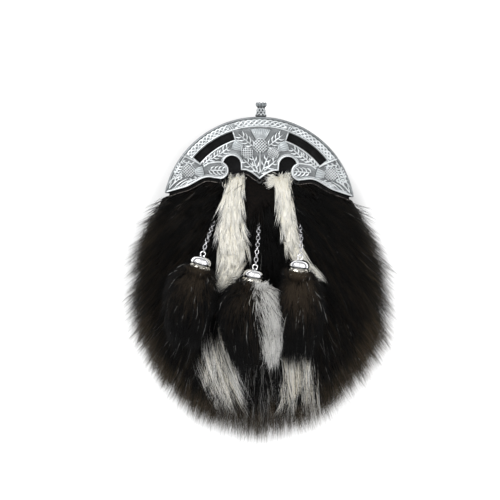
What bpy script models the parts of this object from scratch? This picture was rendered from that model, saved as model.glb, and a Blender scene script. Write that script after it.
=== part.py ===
# Sporran pouch lying on its back: leather pocket, fur front, cast thistle cantle and three fur tassels.
# +X is the right of the front view, +Y runs up to the finial and +Z out of the front.
# The origin is on the outer face of the back panel, on the centre line.

import math

import bmesh
import bpy
import numpy as np
from mathutils import Matrix, Vector

MM = 0.001

SEAT_GAP = 0.3 * MM                # clearance between pieces that touch

# Cantle
CANTLE_RADIUS = 77.0 * MM
CANTLE_TIP_ANGLE = 79.0            # degrees from the top of the arch
ARCH_STEPS = 26                    # facets round the arch
CANTLE_PLATE = 2.2 * MM
RIM_DEPTH = 7.0 * MM               # how far the rim turns back over the leather
RIM_WALL = 1.6 * MM
BORDER_HEIGHT = 0.9 * MM           # raised beads over the plate
BORDER_WIDTH = 2.0 * MM
KNOT_HEIGHT = 0.6 * MM
KNOT_WIDTH = 1.7 * MM
KNOT_WAVE = 12.0 * MM              # length of one full crossing of the two strands
BAND_WIDTH = 7.7 * MM              # knotwork band, with the rim
WINDOW_BORDER = 0.8 * MM           # metal between the band and a window
WINDOW_WIDTH = 6.7 * MM
WINDOW_START = 19.6                # degrees from the top of the arch
WINDOW_END = 50.8
SEPARATOR_INNER = 18.4             # bars across the band, between the knotwork stretches
SEPARATOR_OUTER = 53.4
SEPARATOR_LEAN = 0.7               # how far each end of a bar turns from the bar's middle
KNOT_INNER_END = 16.4              # the knotwork stops short of the bars
KNOT_OUTER_START = 20.6
LEATHER_MARGIN = 3.0 * MM          # backing seen below the cantle
BULB_HEIGHT = 1.8 * MM
CROWN_HEIGHT = 0.8 * MM
LEAF_HEIGHT = 1.3 * MM
LEAF_SLIMNESS = 0.38               # width over length
RELIEF_SINK = 0.5 * MM             # how deep raised work is rooted in the plate

# Leather pocket, whose upper arch lies inside the cantle's rim
LEATHER_WALL = 2.0 * MM
POCKET_DEPTH = 19.7 * MM           # width of the gusset band
RIM_CLEARANCE = 1.9 * MM           # between the rim's inner wall and the pocket
ARCH_Y = 37.5 * MM                 # centre of the upper arch, shared by pocket and cantle
ARCH_RADIUS = CANTLE_RADIUS - RIM_WALL - RIM_CLEARANCE
BOWL_Y = -30.0 * MM                # centre of the lower bowl
BOWL_RADIUS = 83.0 * MM
MOUTH_DROP = 39.0 * MM             # from the top of the arch to the back panel's straight top edge
MOUTH_Y = ARCH_Y + ARCH_RADIUS - MOUTH_DROP

# Finial
FINIAL_HEIGHT = 11.5 * MM
FINIAL_RADIUS = 4.9 * MM

# Fur
FUR_REACH = 212.0 * MM             # from the hub below the finial to the lowest hair tips
FUR_HUB_RISE = 37.5 * MM           # the hair fans out from here, above the arch's centre
FUR_LOFT = 10.0 * MM               # height of the fur over the leather
FUR_RISE = 55.0 * MM               # distance from the cantle in which it reaches that height
FUR_SHOULDER = 40.0 * MM           # distance from the leather's edge in which the fur sinks
FUR_EDGE_SINK = 0.35               # share of the loft that it loses there
FUR_HEM_Z = 5.0 * MM
FUR_TIP_THICKNESS = 2.5 * MM
FUR_WALL_GAP = 0.7 * MM            # hair behind the edge stays this clear of the gusset
FUR_LOCK_DEPTH = 3.0 * MM
FUR_LOCK_TIP = 0.20                # how much shorter every second lock is, of its fall past the leather
FUR_LOCKS = 21
STRIP_THICKNESS = 3.0 * MM
STRIP_EDGE = 0.9 * MM
STRIP_NOTCH = 4.0 * MM             # teeth between the locks of the strips' lower ends
STRIP_TUCK = 6.5 * MM              # how far above the cantle's point the strips start

# Chains and tassels
LINK_PITCH = 5.4 * MM
LINK_WIDTH = 3.8 * MM
LINK_WIRE = 0.8 * MM
LINK_OVERLAP = 0.12 * MM           # how far touching wires run into each other, to be one body
LUG_RADIUS = 1.95 * MM
LUG_WIRE = 1.1 * MM
CAP_RADIUS = 9.4 * MM
CAP_HEIGHT = 12.0 * MM
CAP_RECESS = 4.0 * MM
CAP_SIDES = 10
TASSEL_THICKNESS = 19.0 * MM

# Strap fittings on the back
RING_WIRE = 2.4 * MM
RING_WIDTH = 20.0 * MM
RING_DROP = 14.0 * MM              # from the ring's straight bar to its far side
RING_SQUARENESS = 0.7              # 1 makes the bow a half ellipse, less makes it squarer
TAB_X = 40.0 * MM
TAB_WIDTH = 13.0 * MM
TAB_LENGTH = 15.0 * MM             # sewn length on the back panel
FOLD_SIDES = 10

BAND_INNER_RADIUS = CANTLE_RADIUS - BAND_WIDTH
WINDOW_OUTER_RADIUS = BAND_INNER_RADIUS - WINDOW_BORDER
WINDOW_INNER_RADIUS = WINDOW_OUTER_RADIUS - WINDOW_WIDTH
FUR_HUB_Y = ARCH_Y + FUR_HUB_RISE

# Heights of the layers above the ground
GUSSET_Z = LEATHER_WALL + SEAT_GAP
FRONT_Z = GUSSET_Z + POCKET_DEPTH + SEAT_GAP
FRONT_TOP_Z = FRONT_Z + LEATHER_WALL
BACKING_Z = FRONT_TOP_Z + SEAT_GAP
BACKING_TOP_Z = BACKING_Z + LEATHER_WALL
CANTLE_Z = BACKING_TOP_Z + SEAT_GAP
CANTLE_TOP_Z = CANTLE_Z + CANTLE_PLATE
LINK_REST = LINK_WIDTH / 2 + SEAT_GAP
TASSEL_REST_Z = BACKING_TOP_Z + FUR_LOFT + STRIP_THICKNESS + 3 * SEAT_GAP

# Lower edge of one half of the cantle, from its tip inwards, as shares of the cantle's radius
TIP_EDGE = [
    {"across": 0.864, "rise": 0.222},
    {"across": 0.753, "rise": 0.258},
    {"across": 0.675, "rise": 0.300},
    {"across": 0.597, "rise": 0.344},
    {"across": 0.526, "rise": 0.360},
]
SHIELD_EDGE = [
    {"across": 0.197, "rise": 0.443},
    {"across": 0.127, "rise": 0.439},
    {"across": 0.078, "rise": 0.413},
    {"across": 0.000, "rise": 0.353},
]
LOBE = {"across": 0.416, "rise": 0.435, "radius": 0.091}
NOTCH = {"across": 0.291, "rise": 0.499, "radius": 0.091}

# Reach of the hair tips from the hub, by the angle from straight down
FUR_TIPS = [
    {"angle": -72, "reach": 0.396},
    {"angle": -60, "reach": 0.519},
    {"angle": -48, "reach": 0.642},
    {"angle": -36, "reach": 0.778},
    {"angle": -24, "reach": 0.887},
    {"angle": -12, "reach": 0.972},
    {"angle": 0, "reach": 1.000},
    {"angle": 12, "reach": 0.972},
    {"angle": 24, "reach": 0.887},
    {"angle": 36, "reach": 0.807},
    {"angle": 48, "reach": 0.665},
    {"angle": 60, "reach": 0.514},
    {"angle": 72, "reach": 0.373},
]

# Sections of the pelt: shares of the way from the backing to the leather's edge, then past it to the tips
PELT_OVER = [0.12, 0.26, 0.42, 0.58, 0.76]
PELT_FALL = [
    {"out": 0.45, "drop": 0.30},
    {"out": 0.80, "drop": 0.66},
]

# White strips: way down from the cantle as a share of the fur's reach, edges as shares of the arch radius
STRIP_LEFT = [
    {"down": 0.035, "left": -0.300, "right": -0.135},
    {"down": 0.130, "left": -0.350, "right": -0.150},
    {"down": 0.190, "left": -0.385, "right": -0.145},
    {"down": 0.290, "left": -0.430, "right": -0.090},
    {"down": 0.400, "left": -0.440, "right": -0.080},
    {"down": 0.560, "left": -0.560, "right": -0.200},
    {"down": 0.660, "left": -0.560, "right": -0.190},
    {"down": 0.760, "left": -0.440, "right": -0.100},
    {"down": 0.840, "left": -0.330, "right": -0.140},
]
STRIP_RIGHT = [
    {"down": 0.035, "left": 0.100, "right": 0.330},
    {"down": 0.130, "left": 0.190, "right": 0.350},
    {"down": 0.200, "left": 0.240, "right": 0.385},
    {"down": 0.290, "left": 0.300, "right": 0.410},
    {"down": 0.400, "left": 0.330, "right": 0.560},
    {"down": 0.560, "left": 0.360, "right": 0.600},
    {"down": 0.660, "left": 0.290, "right": 0.660},
    {"down": 0.760, "left": 0.260, "right": 0.620},
    {"down": 0.840, "left": 0.330, "right": 0.500},
]

STRIP_SHARES = [0.0, 0.2, 0.5, 0.8, 1.0]    # points across a strip

# Each tassel: lug on the cantle, eye and lean of the cap, and the fur's length and its reach to each side
TASSELS = {
    "left": {"lug_x": -29.6 * MM, "cap": (-44.0 * MM, 2.5 * MM), "lean": -14.0, "fur": 62.0 * MM,
             "out_left": 23.0 * MM, "out_right": 15.0 * MM, "sway": 0.04},
    "middle": {"lug_x": 0.0, "cap": (-2.4 * MM, -7.0 * MM), "lean": -7.0, "fur": 70.0 * MM,
               "out_left": 31.0 * MM, "out_right": 25.0 * MM, "sway": 0.02},
    "right": {"lug_x": 29.6 * MM, "cap": (33.0 * MM, 1.5 * MM), "lean": -6.0, "fur": 68.0 * MM,
              "out_left": 13.0 * MM, "out_right": 20.0 * MM, "sway": 0.03},
}
TASSEL_SECTIONS = [
    {"along": 0.02, "spread": 0.34, "height": 0.80},
    {"along": 0.12, "spread": 0.62, "height": 0.92},
    {"along": 0.28, "spread": 0.90, "height": 1.00},
    {"along": 0.46, "spread": 1.00, "height": 0.96},
    {"along": 0.64, "spread": 0.90, "height": 0.80},
    {"along": 0.82, "spread": 0.66, "height": 0.52},
    {"along": 0.96, "spread": 0.36, "height": 0.24},
]
TASSEL_CORNERS = 12

# Turned profiles, height and radius as shares of the piece's own height and radius
CAP_PROFILE = [
    {"down": 0.04, "out": 0.42},
    {"down": 0.26, "out": 0.78},
    {"down": 0.52, "out": 0.87},
    {"down": 0.60, "out": 0.80},
    {"down": 0.76, "out": 0.93},
    {"down": 0.93, "out": 1.00},
    {"down": 1.00, "out": 0.97},
    {"down": 1.00, "out": 0.84},
]
CAP_RECESS_SHARE = 0.78
FINIAL_PROFILE = [
    {"up": 0.00, "out": 0.78},
    {"up": 0.10, "out": 0.95},
    {"up": 0.24, "out": 0.86},
    {"up": 0.38, "out": 0.66},
    {"up": 0.58, "out": 0.68},
    {"up": 0.76, "out": 1.00},
    {"up": 0.90, "out": 0.88},
    {"up": 0.98, "out": 0.50},
]

# Thistles of the relief: bulb centre and the way its crown points, as shares of the cantle's radius
THISTLES = [
    {"across": 0.000, "rise": 0.700, "turn": 0, "bulb": 0.074, "crown": 0.110, "stalk": 0.215},
    {"across": 0.135, "rise": 0.620, "turn": -58, "bulb": 0.062, "crown": 0.075, "stalk": 0.080},
    {"across": -0.135, "rise": 0.620, "turn": 58, "bulb": 0.062, "crown": 0.075, "stalk": 0.080},
    {"across": 0.735, "rise": 0.405, "turn": 78, "bulb": 0.070, "crown": 0.078, "stalk": 0.120},
    {"across": -0.735, "rise": 0.405, "turn": -78, "bulb": 0.070, "crown": 0.078, "stalk": 0.120},
]
# Leaves of the right half: centre, way it points and length, as shares of the cantle's radius
LEAVES = [
    {"across": 0.110, "rise": 0.790, "turn": -28, "length": 0.085},
    {"across": 0.185, "rise": 0.750, "turn": -38, "length": 0.075},
    {"across": 0.055, "rise": 0.500, "turn": -18, "length": 0.080},
    {"across": 0.120, "rise": 0.505, "turn": -48, "length": 0.080},
    {"across": 0.345, "rise": 0.655, "turn": -60, "length": 0.090},
    {"across": 0.430, "rise": 0.610, "turn": -52, "length": 0.080},
    {"across": 0.390, "rise": 0.430, "turn": -100, "length": 0.075},
    {"across": 0.450, "rise": 0.465, "turn": -70, "length": 0.065},
    {"across": 0.860, "rise": 0.385, "turn": 14, "length": 0.120},
    {"across": 0.800, "rise": 0.310, "turn": 62, "length": 0.080},
    {"across": 0.740, "rise": 0.530, "turn": 60, "length": 0.070},
]


def clear_scene():
    for old in list(bpy.data.objects):
        bpy.data.objects.remove(old, do_unlink=True)


def finish_material(name, colour, metallic, roughness):
    material = bpy.data.materials.new(name)
    material.use_nodes = True
    shader = material.node_tree.nodes["Principled BSDF"]
    shader.inputs["Base Color"].default_value = (*colour, 1.0)
    shader.inputs["Metallic"].default_value = metallic
    shader.inputs["Roughness"].default_value = roughness
    return material


def add_piece(name, bm, colour, metallic=0.0, roughness=0.5):
    """Turns a bmesh into a named object with a material of its own."""
    bmesh.ops.remove_doubles(bm, verts=bm.verts, dist=1e-6)
    bmesh.ops.recalc_face_normals(bm, faces=bm.faces)
    mesh = bpy.data.meshes.new(name)
    bm.to_mesh(mesh)
    bm.free()
    piece = bpy.data.objects.new(name, mesh)
    piece.data.materials.append(finish_material(name, colour, metallic, roughness))
    bpy.context.scene.collection.objects.link(piece)
    return piece


def fuse(target, bodies, name):
    """Joins closed bodies to a piece with one Boolean union."""
    group = bpy.data.collections.new(name)
    bpy.context.scene.collection.children.link(group)
    for number, body in enumerate(bodies):
        bmesh.ops.recalc_face_normals(body, faces=body.faces)
        mesh = bpy.data.meshes.new(f"{name}_{number}")
        body.to_mesh(mesh)
        body.free()
        helper = bpy.data.objects.new(f"{name}_{number}", mesh)
        helper.hide_render = True
        helper.display_type = "WIRE"
        group.objects.link(helper)
    union = target.modifiers.new(name, "BOOLEAN")
    union.operation = "UNION"
    union.operand_type = "COLLECTION"
    union.collection = group
    union.solver = "EXACT"


def cut(target, cutter, name):
    """Cuts one closed body out of a piece."""
    bmesh.ops.recalc_face_normals(cutter, faces=cutter.faces)
    mesh = bpy.data.meshes.new(name)
    cutter.to_mesh(mesh)
    cutter.free()
    helper = bpy.data.objects.new(name, mesh)
    helper.hide_render = True
    helper.display_type = "WIRE"
    bpy.context.scene.collection.objects.link(helper)
    difference = target.modifiers.new(name, "BOOLEAN")
    difference.operation = "DIFFERENCE"
    difference.object = helper
    difference.solver = "EXACT"


def prism(outline, low, high):
    """A flat outline extruded from one height to another."""
    bm = bmesh.new()
    face = bm.faces.new([bm.verts.new((x, y, low)) for x, y in outline])
    raised = bmesh.ops.extrude_face_region(bm, geom=[face])["geom"]
    moved = [item for item in raised if isinstance(item, bmesh.types.BMVert)]
    bmesh.ops.translate(bm, vec=(0, 0, high - low), verts=moved)
    bmesh.ops.recalc_face_normals(bm, faces=bm.faces)
    return bm


def loft(rings, closed=False, bm=None):
    """Skins rings of equal length. Open lofts get a flat cap at each end."""
    bm = bm or bmesh.new()
    rows = [[bm.verts.new(point) for point in ring] for ring in rings]
    pairs = list(zip(rows, rows[1:] + rows[:1])) if closed else list(zip(rows, rows[1:]))
    for lower, upper in pairs:
        for i in range(len(lower)):
            j = (i + 1) % len(lower)
            bm.faces.new((lower[i], lower[j], upper[j], upper[i]))
    if not closed:
        bm.faces.new(rows[0])
        bm.faces.new(rows[-1])
    return bm


def wire(path, thickness, sides, closed=False, up=Vector((0, 0, 1)), bm=None):
    """A round wire along a path that stays roughly square to the up direction."""
    rings = []
    count = len(path)
    for i, point in enumerate(path):
        ahead = path[(i + 1) % count] if closed or i + 1 < count else path[i]
        behind = path[i - 1] if closed or i > 0 else path[i]
        along = (ahead - behind).normalized()
        side = along.cross(up).normalized()
        over = side.cross(along)
        ring = []
        for k in range(sides):
            turn = math.tau * k / sides
            ring.append(point + thickness / 2 * (math.cos(turn) * side + math.sin(turn) * over))
        rings.append(ring)
    return loft(rings, closed, bm)


def turned(profile, sides, place):
    """A profile of (radius, height) pairs turned round local Z, with its ends on the axis."""
    bm = bmesh.new()
    rows = []
    for radius, height in profile:
        if radius < 1e-6:
            rows.append([bm.verts.new(place @ Vector((0, 0, height)))])
            continue
        turns = [math.tau * k / sides for k in range(sides)]
        rows.append([bm.verts.new(place @ Vector((radius * math.cos(t), radius * math.sin(t), height)))
                     for t in turns])
    for lower, upper in zip(rows, rows[1:]):
        for i in range(sides):
            j = (i + 1) % sides
            corners = [row[k % len(row)] for row, k in ((lower, i), (lower, j), (upper, j), (upper, i))]
            bm.faces.new(list(dict.fromkeys(corners)))
    return bm


def arc(centre_x, centre_y, radius, start, end, steps):
    """Points along an arc, with angles in degrees from +X."""
    turns = [math.radians(start + (end - start) * i / steps) for i in range(steps + 1)]
    return [(centre_x + radius * math.cos(t), centre_y + radius * math.sin(t)) for t in turns]


def polar(angle, radius):
    """A point by its angle from the top of the arch and its distance from the arch's centre."""
    turn = math.radians(angle)
    return radius * math.sin(turn), ARCH_Y + radius * math.cos(turn)


def shared(row):
    """A table row in shares of the cantle's radius, as a point."""
    return row["across"] * CANTLE_RADIUS, ARCH_Y + row["rise"] * CANTLE_RADIUS


def moved_sideways(path, distance):
    """An open path moved to its left by one distance."""
    moved = []
    for i, (x, y) in enumerate(path):
        before = path[max(i - 1, 0)]
        after = path[min(i + 1, len(path) - 1)]
        dx, dy = after[0] - before[0], after[1] - before[1]
        length = math.hypot(dx, dy)
        moved.append((x - dy / length * distance, y + dx / length * distance))
    return moved


def mirrored(path):
    return [(-x, y) for x, y in reversed(path)]


def smooth_step(value):
    value = min(max(value, 0.0), 1.0)
    return value * value * (3 - 2 * value)


# Outlines

def pouch_side_angle():
    """How far the straight side of the pocket leans out, from the two radii."""
    return math.degrees(math.asin((BOWL_RADIUS - ARCH_RADIUS) / (ARCH_Y - BOWL_Y)))


def pouch_path(inset, top_angle):
    """The pocket's outline from the right of its mouth, round the bottom, to the left of it."""
    lean = pouch_side_angle()
    upper = arc(0, ARCH_Y, ARCH_RADIUS - inset, 90 - top_angle, lean, 6)
    lower = arc(0, BOWL_Y, BOWL_RADIUS - inset, lean, -90, 11)
    right = upper + lower
    return right + mirrored(right)[1:]


def pouch_outline(inset, top_angle=0.0):
    """The closed outline: the path above, closed by the arch or by a straight mouth."""
    path = pouch_path(inset, top_angle)
    return path if top_angle else path[:-1]


def edge_distance(x, y):
    """How far a point lies inside the pocket's outline, negative outside it."""
    lean = math.radians(pouch_side_angle())
    x, rise = abs(x), y - ARCH_Y
    down_side = x * math.sin(lean) - rise * math.cos(lean)
    if down_side < 0:
        return ARCH_RADIUS - math.hypot(x, rise)
    if down_side > (ARCH_Y - BOWL_Y) * math.cos(lean):
        return BOWL_RADIUS - math.hypot(x, y - BOWL_Y)
    return ARCH_RADIUS - x * math.cos(lean) - rise * math.sin(lean)


def lobe_path():
    x, y = shared(LOBE)
    return arc(x, y, LOBE["radius"] * CANTLE_RADIUS, 262, 112, 6)


def notch_path():
    x, y = shared(NOTCH)
    return arc(x, y, NOTCH["radius"] * CANTLE_RADIUS, 14, 180, 6)


def cantle_lower_edge():
    """The right half of the cantle's lower edge, from the tip to the middle point."""
    tip = [polar(CANTLE_TIP_ANGLE, CANTLE_RADIUS)] + [shared(row) for row in TIP_EDGE]
    return tip + lobe_path() + notch_path() + [shared(row) for row in SHIELD_EDGE]


def arch_angles():
    """Angles of the facets round the arch, from tip to tip."""
    return [float(angle) for angle in np.linspace(-CANTLE_TIP_ANGLE, CANTLE_TIP_ANGLE, ARCH_STEPS + 1)]


def cantle_outline(radius):
    """The whole plate, with its arch at the given radius."""
    half = cantle_lower_edge()
    half[0] = polar(CANTLE_TIP_ANGLE, radius)
    lower = half + mirrored(half)[1:]
    return lower + [polar(angle, radius) for angle in arch_angles()[1:-1]]


def backing_edge():
    """The backing's lower edge, a margin below the cantle's and straight across its notches."""
    spans = [shared(row) for row in TIP_EDGE] + lobe_path()[:3] + [shared(row) for row in SHIELD_EDGE]
    half = moved_sideways([polar(CANTLE_TIP_ANGLE, CANTLE_RADIUS)] + spans, LEATHER_MARGIN)
    half[0] = polar(CANTLE_TIP_ANGLE, CANTLE_RADIUS - RIM_WALL - SEAT_GAP)
    half[-1] = (0.0, shared(SHIELD_EDGE[-1])[1] - LEATHER_MARGIN)
    return half


def backing_edge_y(x):
    """Height of the backing's lower edge at a distance from the centre line."""
    points = sorted(backing_edge())
    return float(np.interp(abs(x), [p[0] for p in points], [p[1] for p in points]))


# Fur surfaces

def fur_top(x, y):
    """Height of the black fur's smooth upper surface over the ground."""
    below = (backing_edge_y(x) - y) / FUR_RISE
    rise = 1 - (1 - min(max(below, 0.0), 1.0)) ** 2
    inward = min(max(edge_distance(x, y) / FUR_SHOULDER, 0.0), 1.0)
    crown = 1 - FUR_EDGE_SINK * (1 - inward) ** 2
    return BACKING_TOP_Z + FUR_LOFT * rise * crown


def fur_tip(angle):
    """Where the hair tips end, by the angle from straight down."""
    share = np.interp(angle, [row["angle"] for row in FUR_TIPS], [row["reach"] for row in FUR_TIPS])
    turn = math.radians(angle)
    reach = float(share) * FUR_REACH
    return reach * math.sin(turn), FUR_HUB_Y - reach * math.cos(turn)


def edge_along(angle):
    """Where a line from the hub crosses the pocket's outline."""
    turn = math.radians(angle)
    low, high = 0.0, FUR_REACH
    for _ in range(40):
        middle = (low + high) / 2
        if edge_distance(middle * math.sin(turn), FUR_HUB_Y - middle * math.cos(turn)) > 0:
            low = middle
        else:
            high = middle
    return low * math.sin(turn), FUR_HUB_Y - low * math.cos(turn)


def fur_ray(angle, lock):
    """One section of the pelt, from the backing over the crown to the tips and back under the hem."""
    limit = FUR_TIPS[-1]["angle"]
    edge_x, edge_y = edge_along(angle)
    tip_x, tip_y = fur_tip(angle)
    shorten = 1.0 - FUR_LOCK_TIP * (1 - lock)
    tip_x, tip_y = edge_x + (tip_x - edge_x) * shorten, edge_y + (tip_y - edge_y) * shorten
    start_x = (ARCH_RADIUS - LEATHER_WALL) * math.sin(math.radians(angle)) / math.sin(math.radians(limit))
    nearby = (-LEATHER_MARGIN / 2, 0, LEATHER_MARGIN / 2)
    start_y = min(backing_edge_y(start_x + step) for step in nearby) - SEAT_GAP
    points = [(start_x, start_y, BACKING_Z), (start_x, start_y, BACKING_TOP_Z)]
    edge_z = fur_top(edge_x, edge_y)
    for number, share in enumerate(PELT_OVER):
        x = start_x + (edge_x - start_x) * share
        y = start_y + (edge_y - start_y) * share
        groove = FUR_LOCK_DEPTH * (1 - lock if number % 2 else lock) * min(1.0, 4 * share)
        points.append((x, y, fur_top(x, y) - groove))
    points.append((edge_x, edge_y, edge_z - FUR_LOCK_DEPTH * lock))
    for row in PELT_FALL:
        x = edge_x + (tip_x - edge_x) * row["out"]
        y = edge_y + (tip_y - edge_y) * row["out"]
        z = edge_z + (FUR_HEM_Z - edge_z) * row["drop"]
        points.append((x, y, z - FUR_LOCK_DEPTH * (1 - lock) / 2))
    points.append((tip_x, tip_y, FUR_HEM_Z + FUR_TIP_THICKNESS * 0.6))
    outside = FUR_WALL_GAP / math.hypot(edge_x, edge_y - FUR_HUB_Y)
    wall_x = edge_x + outside * edge_x
    wall_y = edge_y + outside * (edge_y - FUR_HUB_Y)
    points.append((wall_x, wall_y, FUR_HEM_Z - FUR_TIP_THICKNESS * 0.4))
    points.append((wall_x, wall_y, BACKING_Z))
    return [Vector(point) for point in points]


def make_pelt():
    limit = FUR_TIPS[-1]["angle"] - 1.0
    angles = np.linspace(-limit, limit, 2 * FUR_LOCKS + 1)
    rings = [fur_ray(float(angle), number % 2) for number, angle in enumerate(angles)]
    add_piece("fur_pelt", loft(rings), (0.012, 0.010, 0.009), roughness=0.75)


def make_strip(name, table):
    """A strip of white fur that follows the black fur's surface."""
    rings = []
    top = backing_edge_y(0) + STRIP_TUCK
    for number, row in enumerate(table):
        y = top - (row["down"] - table[0]["down"]) * FUR_REACH
        left, right = row["left"] * ARCH_RADIUS, row["right"] * ARCH_RADIUS
        notched = number % 2 and number > len(table) // 2
        low, high = [], []
        for place, share in enumerate(STRIP_SHARES):
            x = left + (right - left) * share
            tooth = STRIP_NOTCH if notched and place % 2 else 0.0
            base = fur_top(x, y - tooth) + 2 * SEAT_GAP
            body = STRIP_EDGE + (STRIP_THICKNESS - STRIP_EDGE) * math.sin(math.pi * share)
            low.append(Vector((x, y - tooth, base)))
            high.append(Vector((x, y - tooth, base + body)))
        rings.append(low + high[::-1])
    add_piece(name, loft(rings), (0.80, 0.77, 0.66), roughness=0.7)


# Leather

def make_leather():
    black = (0.014, 0.013, 0.013)
    mouth_angle = math.degrees(math.acos((MOUTH_Y - ARCH_Y) / ARCH_RADIUS))
    back = prism(pouch_outline(0.0, mouth_angle), 0.0, LEATHER_WALL)
    add_piece("back_panel", back, black, roughness=0.45)
    wall = pouch_path(0.0, mouth_angle) + list(reversed(pouch_path(LEATHER_WALL, mouth_angle)))
    add_piece("gusset", prism(wall, GUSSET_Z, GUSSET_Z + POCKET_DEPTH), black, roughness=0.45)
    front = prism(pouch_outline(0.0), FRONT_Z, FRONT_TOP_Z)
    add_piece("front_panel", front, black, roughness=0.5)
    radius = CANTLE_RADIUS - RIM_WALL - SEAT_GAP
    half = backing_edge()
    arch = [polar(angle, radius) for angle in arch_angles()[1:-1]]
    backing = prism(half + mirrored(half)[1:] + arch, BACKING_Z, BACKING_TOP_Z)
    add_piece("cantle_backing", backing, black, roughness=0.35)


def make_strap_fittings():
    """A folded leather tab on the inside of the back panel's top corners, with a ring in its fold."""
    fold = RING_WIRE / 2 + SEAT_GAP
    fold_z = GUSSET_Z + LEATHER_WALL
    fold_y = MOUTH_Y + fold + LEATHER_WALL
    for side, name in ((-1, "left"), (1, "right")):
        inner, outer = [], []
        for k in range(FOLD_SIDES):
            turn = math.tau * (k + 0.5) / FOLD_SIDES
            bore = fold / math.cos(math.pi / FOLD_SIDES)
            inner.append((fold_y + bore * math.cos(turn), fold_z + bore * math.sin(turn)))
            y = fold_y + (fold + LEATHER_WALL) * math.cos(turn)
            z = fold_z + (fold + LEATHER_WALL) * math.sin(turn)
            if math.cos(turn) < -0.3:
                y = MOUTH_Y + SEAT_GAP if math.cos(turn) > -0.8 else MOUTH_Y - TAB_LENGTH
                z = fold_z + math.copysign(LEATHER_WALL, math.sin(turn))
            outer.append((y, z))
        tab = bmesh.new()
        low, high = side * TAB_X - TAB_WIDTH / 2, side * TAB_X + TAB_WIDTH / 2
        loops = [[tab.verts.new((x, y, z)) for y, z in loop]
                 for x in (low, high) for loop in (inner, outer)]
        for first, second in ((0, 1), (1, 3), (3, 2), (2, 0)):
            for k in range(FOLD_SIDES):
                j = (k + 1) % FOLD_SIDES
                tab.faces.new((loops[first][k], loops[first][j], loops[second][j], loops[second][k]))
        add_piece(f"strap_tab_{name}", tab, (0.014, 0.013, 0.013), roughness=0.45)
        half = RING_WIDTH / 2 - RING_WIRE / 2
        reach = RING_DROP - RING_WIRE
        path = [Vector((side * TAB_X + x, fold_y, fold_z)) for x in (half, half / 3, -half / 3, -half)]
        for k in range(1, 9):
            turn = math.pi * k / 9
            bow = reach * math.sin(turn) ** RING_SQUARENESS
            path.append(Vector((side * TAB_X - half * math.cos(turn), fold_y + bow, fold_z)))
        ring = wire(path, RING_WIRE, 6, closed=True)
        add_piece(f"strap_ring_{name}", ring, (0.60, 0.61, 0.62), metallic=1.0, roughness=0.3)


# Cantle

def rib(path, width, height):
    """A raised bead with a ridge, rooted in the plate."""
    flat = [Vector((x, y, 0)) for x, y in path]
    rings = []
    for i, point in enumerate(flat):
        along = (flat[min(i + 1, len(flat) - 1)] - flat[max(i - 1, 0)]).normalized()
        side = Vector((-along.y, along.x, 0)) * width / 2
        foot = Vector((0, 0, CANTLE_TOP_Z - RELIEF_SINK))
        ridge = Vector((0, 0, CANTLE_TOP_Z + height))
        rings.append([point + side + foot, point - side + foot, point + ridge])
    return loft(rings)


def blob(centre, size, turn):
    """A low octahedral leaf or a round bulb, half sunk in the plate."""
    length, width, height = size
    bm = bmesh.new()
    around = 8 if abs(length - width) < 0.3 * length else 4
    bmesh.ops.create_uvsphere(bm, u_segments=around, v_segments=around // 2, radius=1.0)
    place = Matrix.Translation((centre[0], centre[1], CANTLE_TOP_Z))
    place = place @ Matrix.Rotation(math.radians(turn), 4, "Z") @ Matrix.Diagonal((width, length, height, 1))
    bmesh.ops.transform(bm, matrix=place, verts=bm.verts)
    return bm


def thistle(row):
    """Bulb, fanned crown and stalk of one thistle."""
    x, y = shared(row)
    turn = math.radians(row["turn"])
    ahead = Vector((-math.sin(turn), math.cos(turn)))
    aside = Vector((math.cos(turn), math.sin(turn)))
    bulb = row["bulb"] * CANTLE_RADIUS
    crown = row["crown"] * CANTLE_RADIUS
    centre = Vector((x, y))
    top = 1.0 + crown / bulb
    spread = ((-0.55, 0.55), (-1.0, top), (0.0, top + 0.15), (1.0, top), (0.55, 0.55))
    fan = [tuple(centre + bulb * (aside * across + ahead * along)) for across, along in reversed(spread)]
    foot = centre - ahead * (bulb * 0.8 + row["stalk"] * CANTLE_RADIUS)
    stalk = [tuple(centre - ahead * bulb * 0.8), tuple(foot)]
    return [
        blob(centre, (bulb * 1.05, bulb, BULB_HEIGHT), row["turn"]),
        prism(fan, CANTLE_TOP_Z - RELIEF_SINK, CANTLE_TOP_Z + CROWN_HEIGHT),
        rib(stalk, BORDER_WIDTH, BORDER_HEIGHT),
    ]


def knotwork(start, end):
    """Two zigzag strands that cross along one stretch of the band."""
    middle = (CANTLE_RADIUS - RIM_WALL + BAND_INNER_RADIUS + BORDER_WIDTH / 2) / 2
    swing = (CANTLE_RADIUS - RIM_WALL - BAND_INNER_RADIUS - BORDER_WIDTH / 2) / 2 - KNOT_WIDTH / 3
    waves = round(math.radians(abs(end - start)) * middle / KNOT_WAVE)
    strands = []
    for phase in (0, math.pi):
        path = []
        for k in range(2 * waves + 1):
            angle = start + (end - start) * k / (2 * waves)
            path.append(polar(angle, middle + swing * math.cos(phase + math.pi * k)))
        strands.append(rib(path, KNOT_WIDTH, KNOT_HEIGHT + (0.1 * MM if phase else 0.0)))
    return strands


def lug(x):
    """The eye under the cantle's edge that a chain's first link hangs in."""
    y = lug_centre_y(x)
    z = BACKING_TOP_Z + LINK_REST
    path = [Vector((px, py, z)) for px, py in arc(x, y, LUG_RADIUS, 22.5, 337.5, 7)]
    return wire(path, LUG_WIRE, 5, closed=True)


def lug_centre_y(x):
    half = sorted(cantle_lower_edge()[:8] + [shared(SHIELD_EDGE[-1])])
    if abs(x) < 1 * MM:
        edge = shared(SHIELD_EDGE[-1])[1]
    else:
        edge = float(np.interp(abs(x), [p[0] for p in half], [p[1] for p in half]))
    return edge - 0.62 * LUG_RADIUS


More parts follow.
